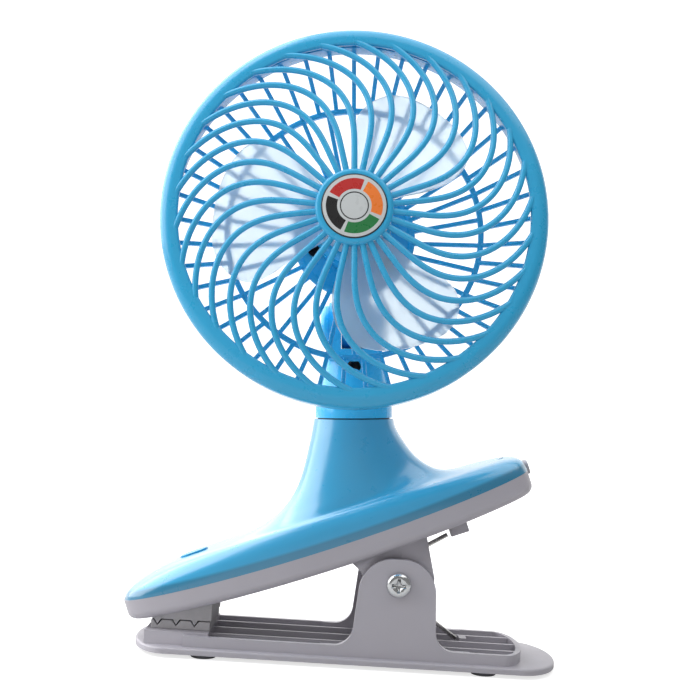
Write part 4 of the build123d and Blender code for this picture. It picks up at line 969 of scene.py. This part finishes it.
class CLIPFAN_OT_stage(ClipFanOperator):
    """Make the pale floor, the soft lamps, the white air and the camera."""

    bl_idname = "clip_fan.stage"
    bl_label = "Stage"

    # Name, place, width in metres, watts, and whether glossy surfaces mirror the lamp.
    lamps = (
        ("key_lamp", (-1.15, 0.10, 1.00), 2.1, 42.0, True),
        ("fill_lamp", (-0.10, -1.25, 0.28), 1.3, 3.1, False),
        ("top_lamp", (0.20, -0.10, 1.25), 1.6, 12.0, True),
        ("back_lamp", (-0.50, 0.90, 0.60), 0.8, 2.0, True),
    )
    lamps_aim = (0.0, 0.0, 0.11)
    camera_place = (-0.00156, -0.493, 0.107)
    camera_pitch = 1.8                          # degrees that it looks up
    focal_pixels, photo_pixels = 1200, 700      # focal length, and the photograph's width

    def floor(self):
        """A floor that curves up behind: flat along Y, then a quarter circle, then straight up."""
        front, bend_start, bend_radius, top, half_width = -4.0, 2.0, 0.8, 4.0, 5.0
        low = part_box("rubber_feet")[0].z
        bend = np.linspace(0, math.pi / 2, 24)
        along, up = bend_start + bend_radius * np.sin(bend), bend_radius * (1 - np.cos(bend))
        side = [(front, 0.0), *zip(along, up), (bend_start + bend_radius, top)]
        points = [(x, y, z + low) for y, z in side for x in (-half_width, half_width)]
        mesh = bpy.data.meshes.new("studio_floor")
        mesh.from_pydata(points, [], grid_faces(len(side), 2).tolist())
        mesh.polygons.foreach_set("use_smooth", np.ones(len(mesh.polygons), bool))
        mesh.materials.append(self.paper())
        floor = bpy.data.objects.new("studio_floor", mesh)
        bpy.context.scene.collection.objects.link(floor)

    def paper(self):
        """White paper that glows where the camera or a glossy surface sees it.

        Both glows grow with Y.  What the frosted blades let through sees the camera's glow.
        """
        material = finish(
            "studio_floor", looks().floor, roughness=0.6, Specular_IOR_Level=0.2,
            Emission_Color=(1, 1, 1, 1),
        )
        rays = add_node(material, "ShaderNodeLightPath").outputs
        behind = axes_of(material, place_coordinates(material))["Y"]
        seen = maths(material, "MAXIMUM", rays["Is Camera Ray"], rays["Is Transmission Ray"])
        shown = spread(material, behind, 0.72, 1.0, start=0.10, end=0.70)
        mirrored = spread(material, behind, 0.0, 0.95, start=0.08, end=0.50)
        direct = maths(material, "MULTIPLY", seen, shown)
        glow = maths(material, "MULTIPLY_ADD", rays["Is Glossy Ray"], mirrored, direct)
        set_input(material, "Emission Strength", glow)
        return material

    def lamp(self, name, place, width, watts, mirrored):
        """A soft square lamp aimed at the object."""
        light = bpy.data.lights.new(name, "AREA")
        light.energy = watts
        light.size = width
        lamp = bpy.data.objects.new(name, light)
        lamp.location = place
        lamp.rotation_mode = "QUATERNION"
        lamp.rotation_quaternion = (Vector(self.lamps_aim) - Vector(place)).to_track_quat("-Z", "Y")
        lamp.visible_glossy = mirrored
        bpy.context.scene.collection.objects.link(lamp)

    def air(self):
        """White air, which is as bright to the camera as paper but lights the object less."""
        lighting = 0.24
        world = bpy.data.worlds.new("studio_air")
        world.use_nodes = True
        background = world.node_tree.nodes["Background"]
        background.inputs["Color"].default_value = (1, 1, 1, 1)
        seen = add_node(world, "ShaderNodeLightPath").outputs["Is Camera Ray"]
        strength = maths(world, "MULTIPLY_ADD", seen, 1 - lighting, lighting)
        world.node_tree.links.new(strength, background.inputs["Strength"])
        return world

    def camera(self):
        """A camera where the photograph was taken from, leaned about Y with the neck."""
        view = bpy.data.cameras.new("photo_camera")
        view.sensor_width = 36.0
        view.lens = view.sensor_width * self.focal_pixels / self.photo_pixels
        view.clip_start, view.clip_end = 0.01, 20
        camera = bpy.data.objects.new("photo_camera", view)
        camera.location = leaned(self.camera_place)
        pitch = math.radians(self.camera_pitch)
        up, back = [0, -math.sin(pitch), math.cos(pitch)], [0, -math.cos(pitch), -math.sin(pitch)]
        axes = leaned([[1, 0, 0], up, back])
        camera.rotation_mode = "QUATERNION"
        camera.rotation_quaternion = Matrix(axes.T.tolist()).to_quaternion()
        bpy.context.scene.collection.objects.link(camera)
        return camera

    def execute(self, context):
        self.floor()
        for lamp in self.lamps:
            self.lamp(*lamp)
        context.scene.world = self.air()
        context.scene.camera = self.camera()
        context.scene.view_settings.view_transform = "Standard"
        return {"FINISHED"}


STEPS = (
    CLIPFAN_OT_lower_jaw, CLIPFAN_OT_grips, CLIPFAN_OT_pivot, CLIPFAN_OT_upper_jaw, CLIPFAN_OT_inside,
    CLIPFAN_OT_stem, CLIPFAN_OT_front_ring, CLIPFAN_OT_front_grille, CLIPFAN_OT_badge,
    CLIPFAN_OT_rear_ring, CLIPFAN_OT_rear_grille, CLIPFAN_OT_motor, CLIPFAN_OT_impeller,
    CLIPFAN_OT_stage,
)


class CLIPFAN_PT_panel(bpy.types.Panel):
    """Lists the fan's pieces, sizes and colours."""

    bl_label = "Clip fan"
    bl_idname = "CLIPFAN_PT_panel"
    bl_space_type = "VIEW_3D"
    bl_region_type = "UI"
    bl_category = "Clip fan"

    def draw(self, context):
        for step in STEPS:
            self.layout.operator(step.bl_idname)
        for group in (context.scene.clip_fan_sizes, context.scene.clip_fan_looks):
            for setting in group.bl_rna.properties:
                if setting.identifier not in {"rna_type", "name"}:
                    self.layout.prop(group, setting.identifier)


CLASSES = (ClipFanSizes, ClipFanLooks, *STEPS, CLIPFAN_PT_panel)


def register():
    """Registers the classes and gives the scene its sizes and colours."""
    for item in CLASSES:
        bpy.utils.register_class(item)
    bpy.types.Scene.clip_fan_sizes = bpy.props.PointerProperty(type=ClipFanSizes)
    bpy.types.Scene.clip_fan_looks = bpy.props.PointerProperty(type=ClipFanLooks)


def unregister():
    """Takes the sizes, the colours and the classes away again."""
    del bpy.types.Scene.clip_fan_looks
    del bpy.types.Scene.clip_fan_sizes
    for item in reversed(CLASSES):
        bpy.utils.unregister_class(item)


def main():
    """Makes every piece."""
    register()
    for step in STEPS:
        module, name = step.bl_idname.split(".")
        getattr(getattr(bpy.ops, module), name)()


if __name__ == "__main__":
    main()
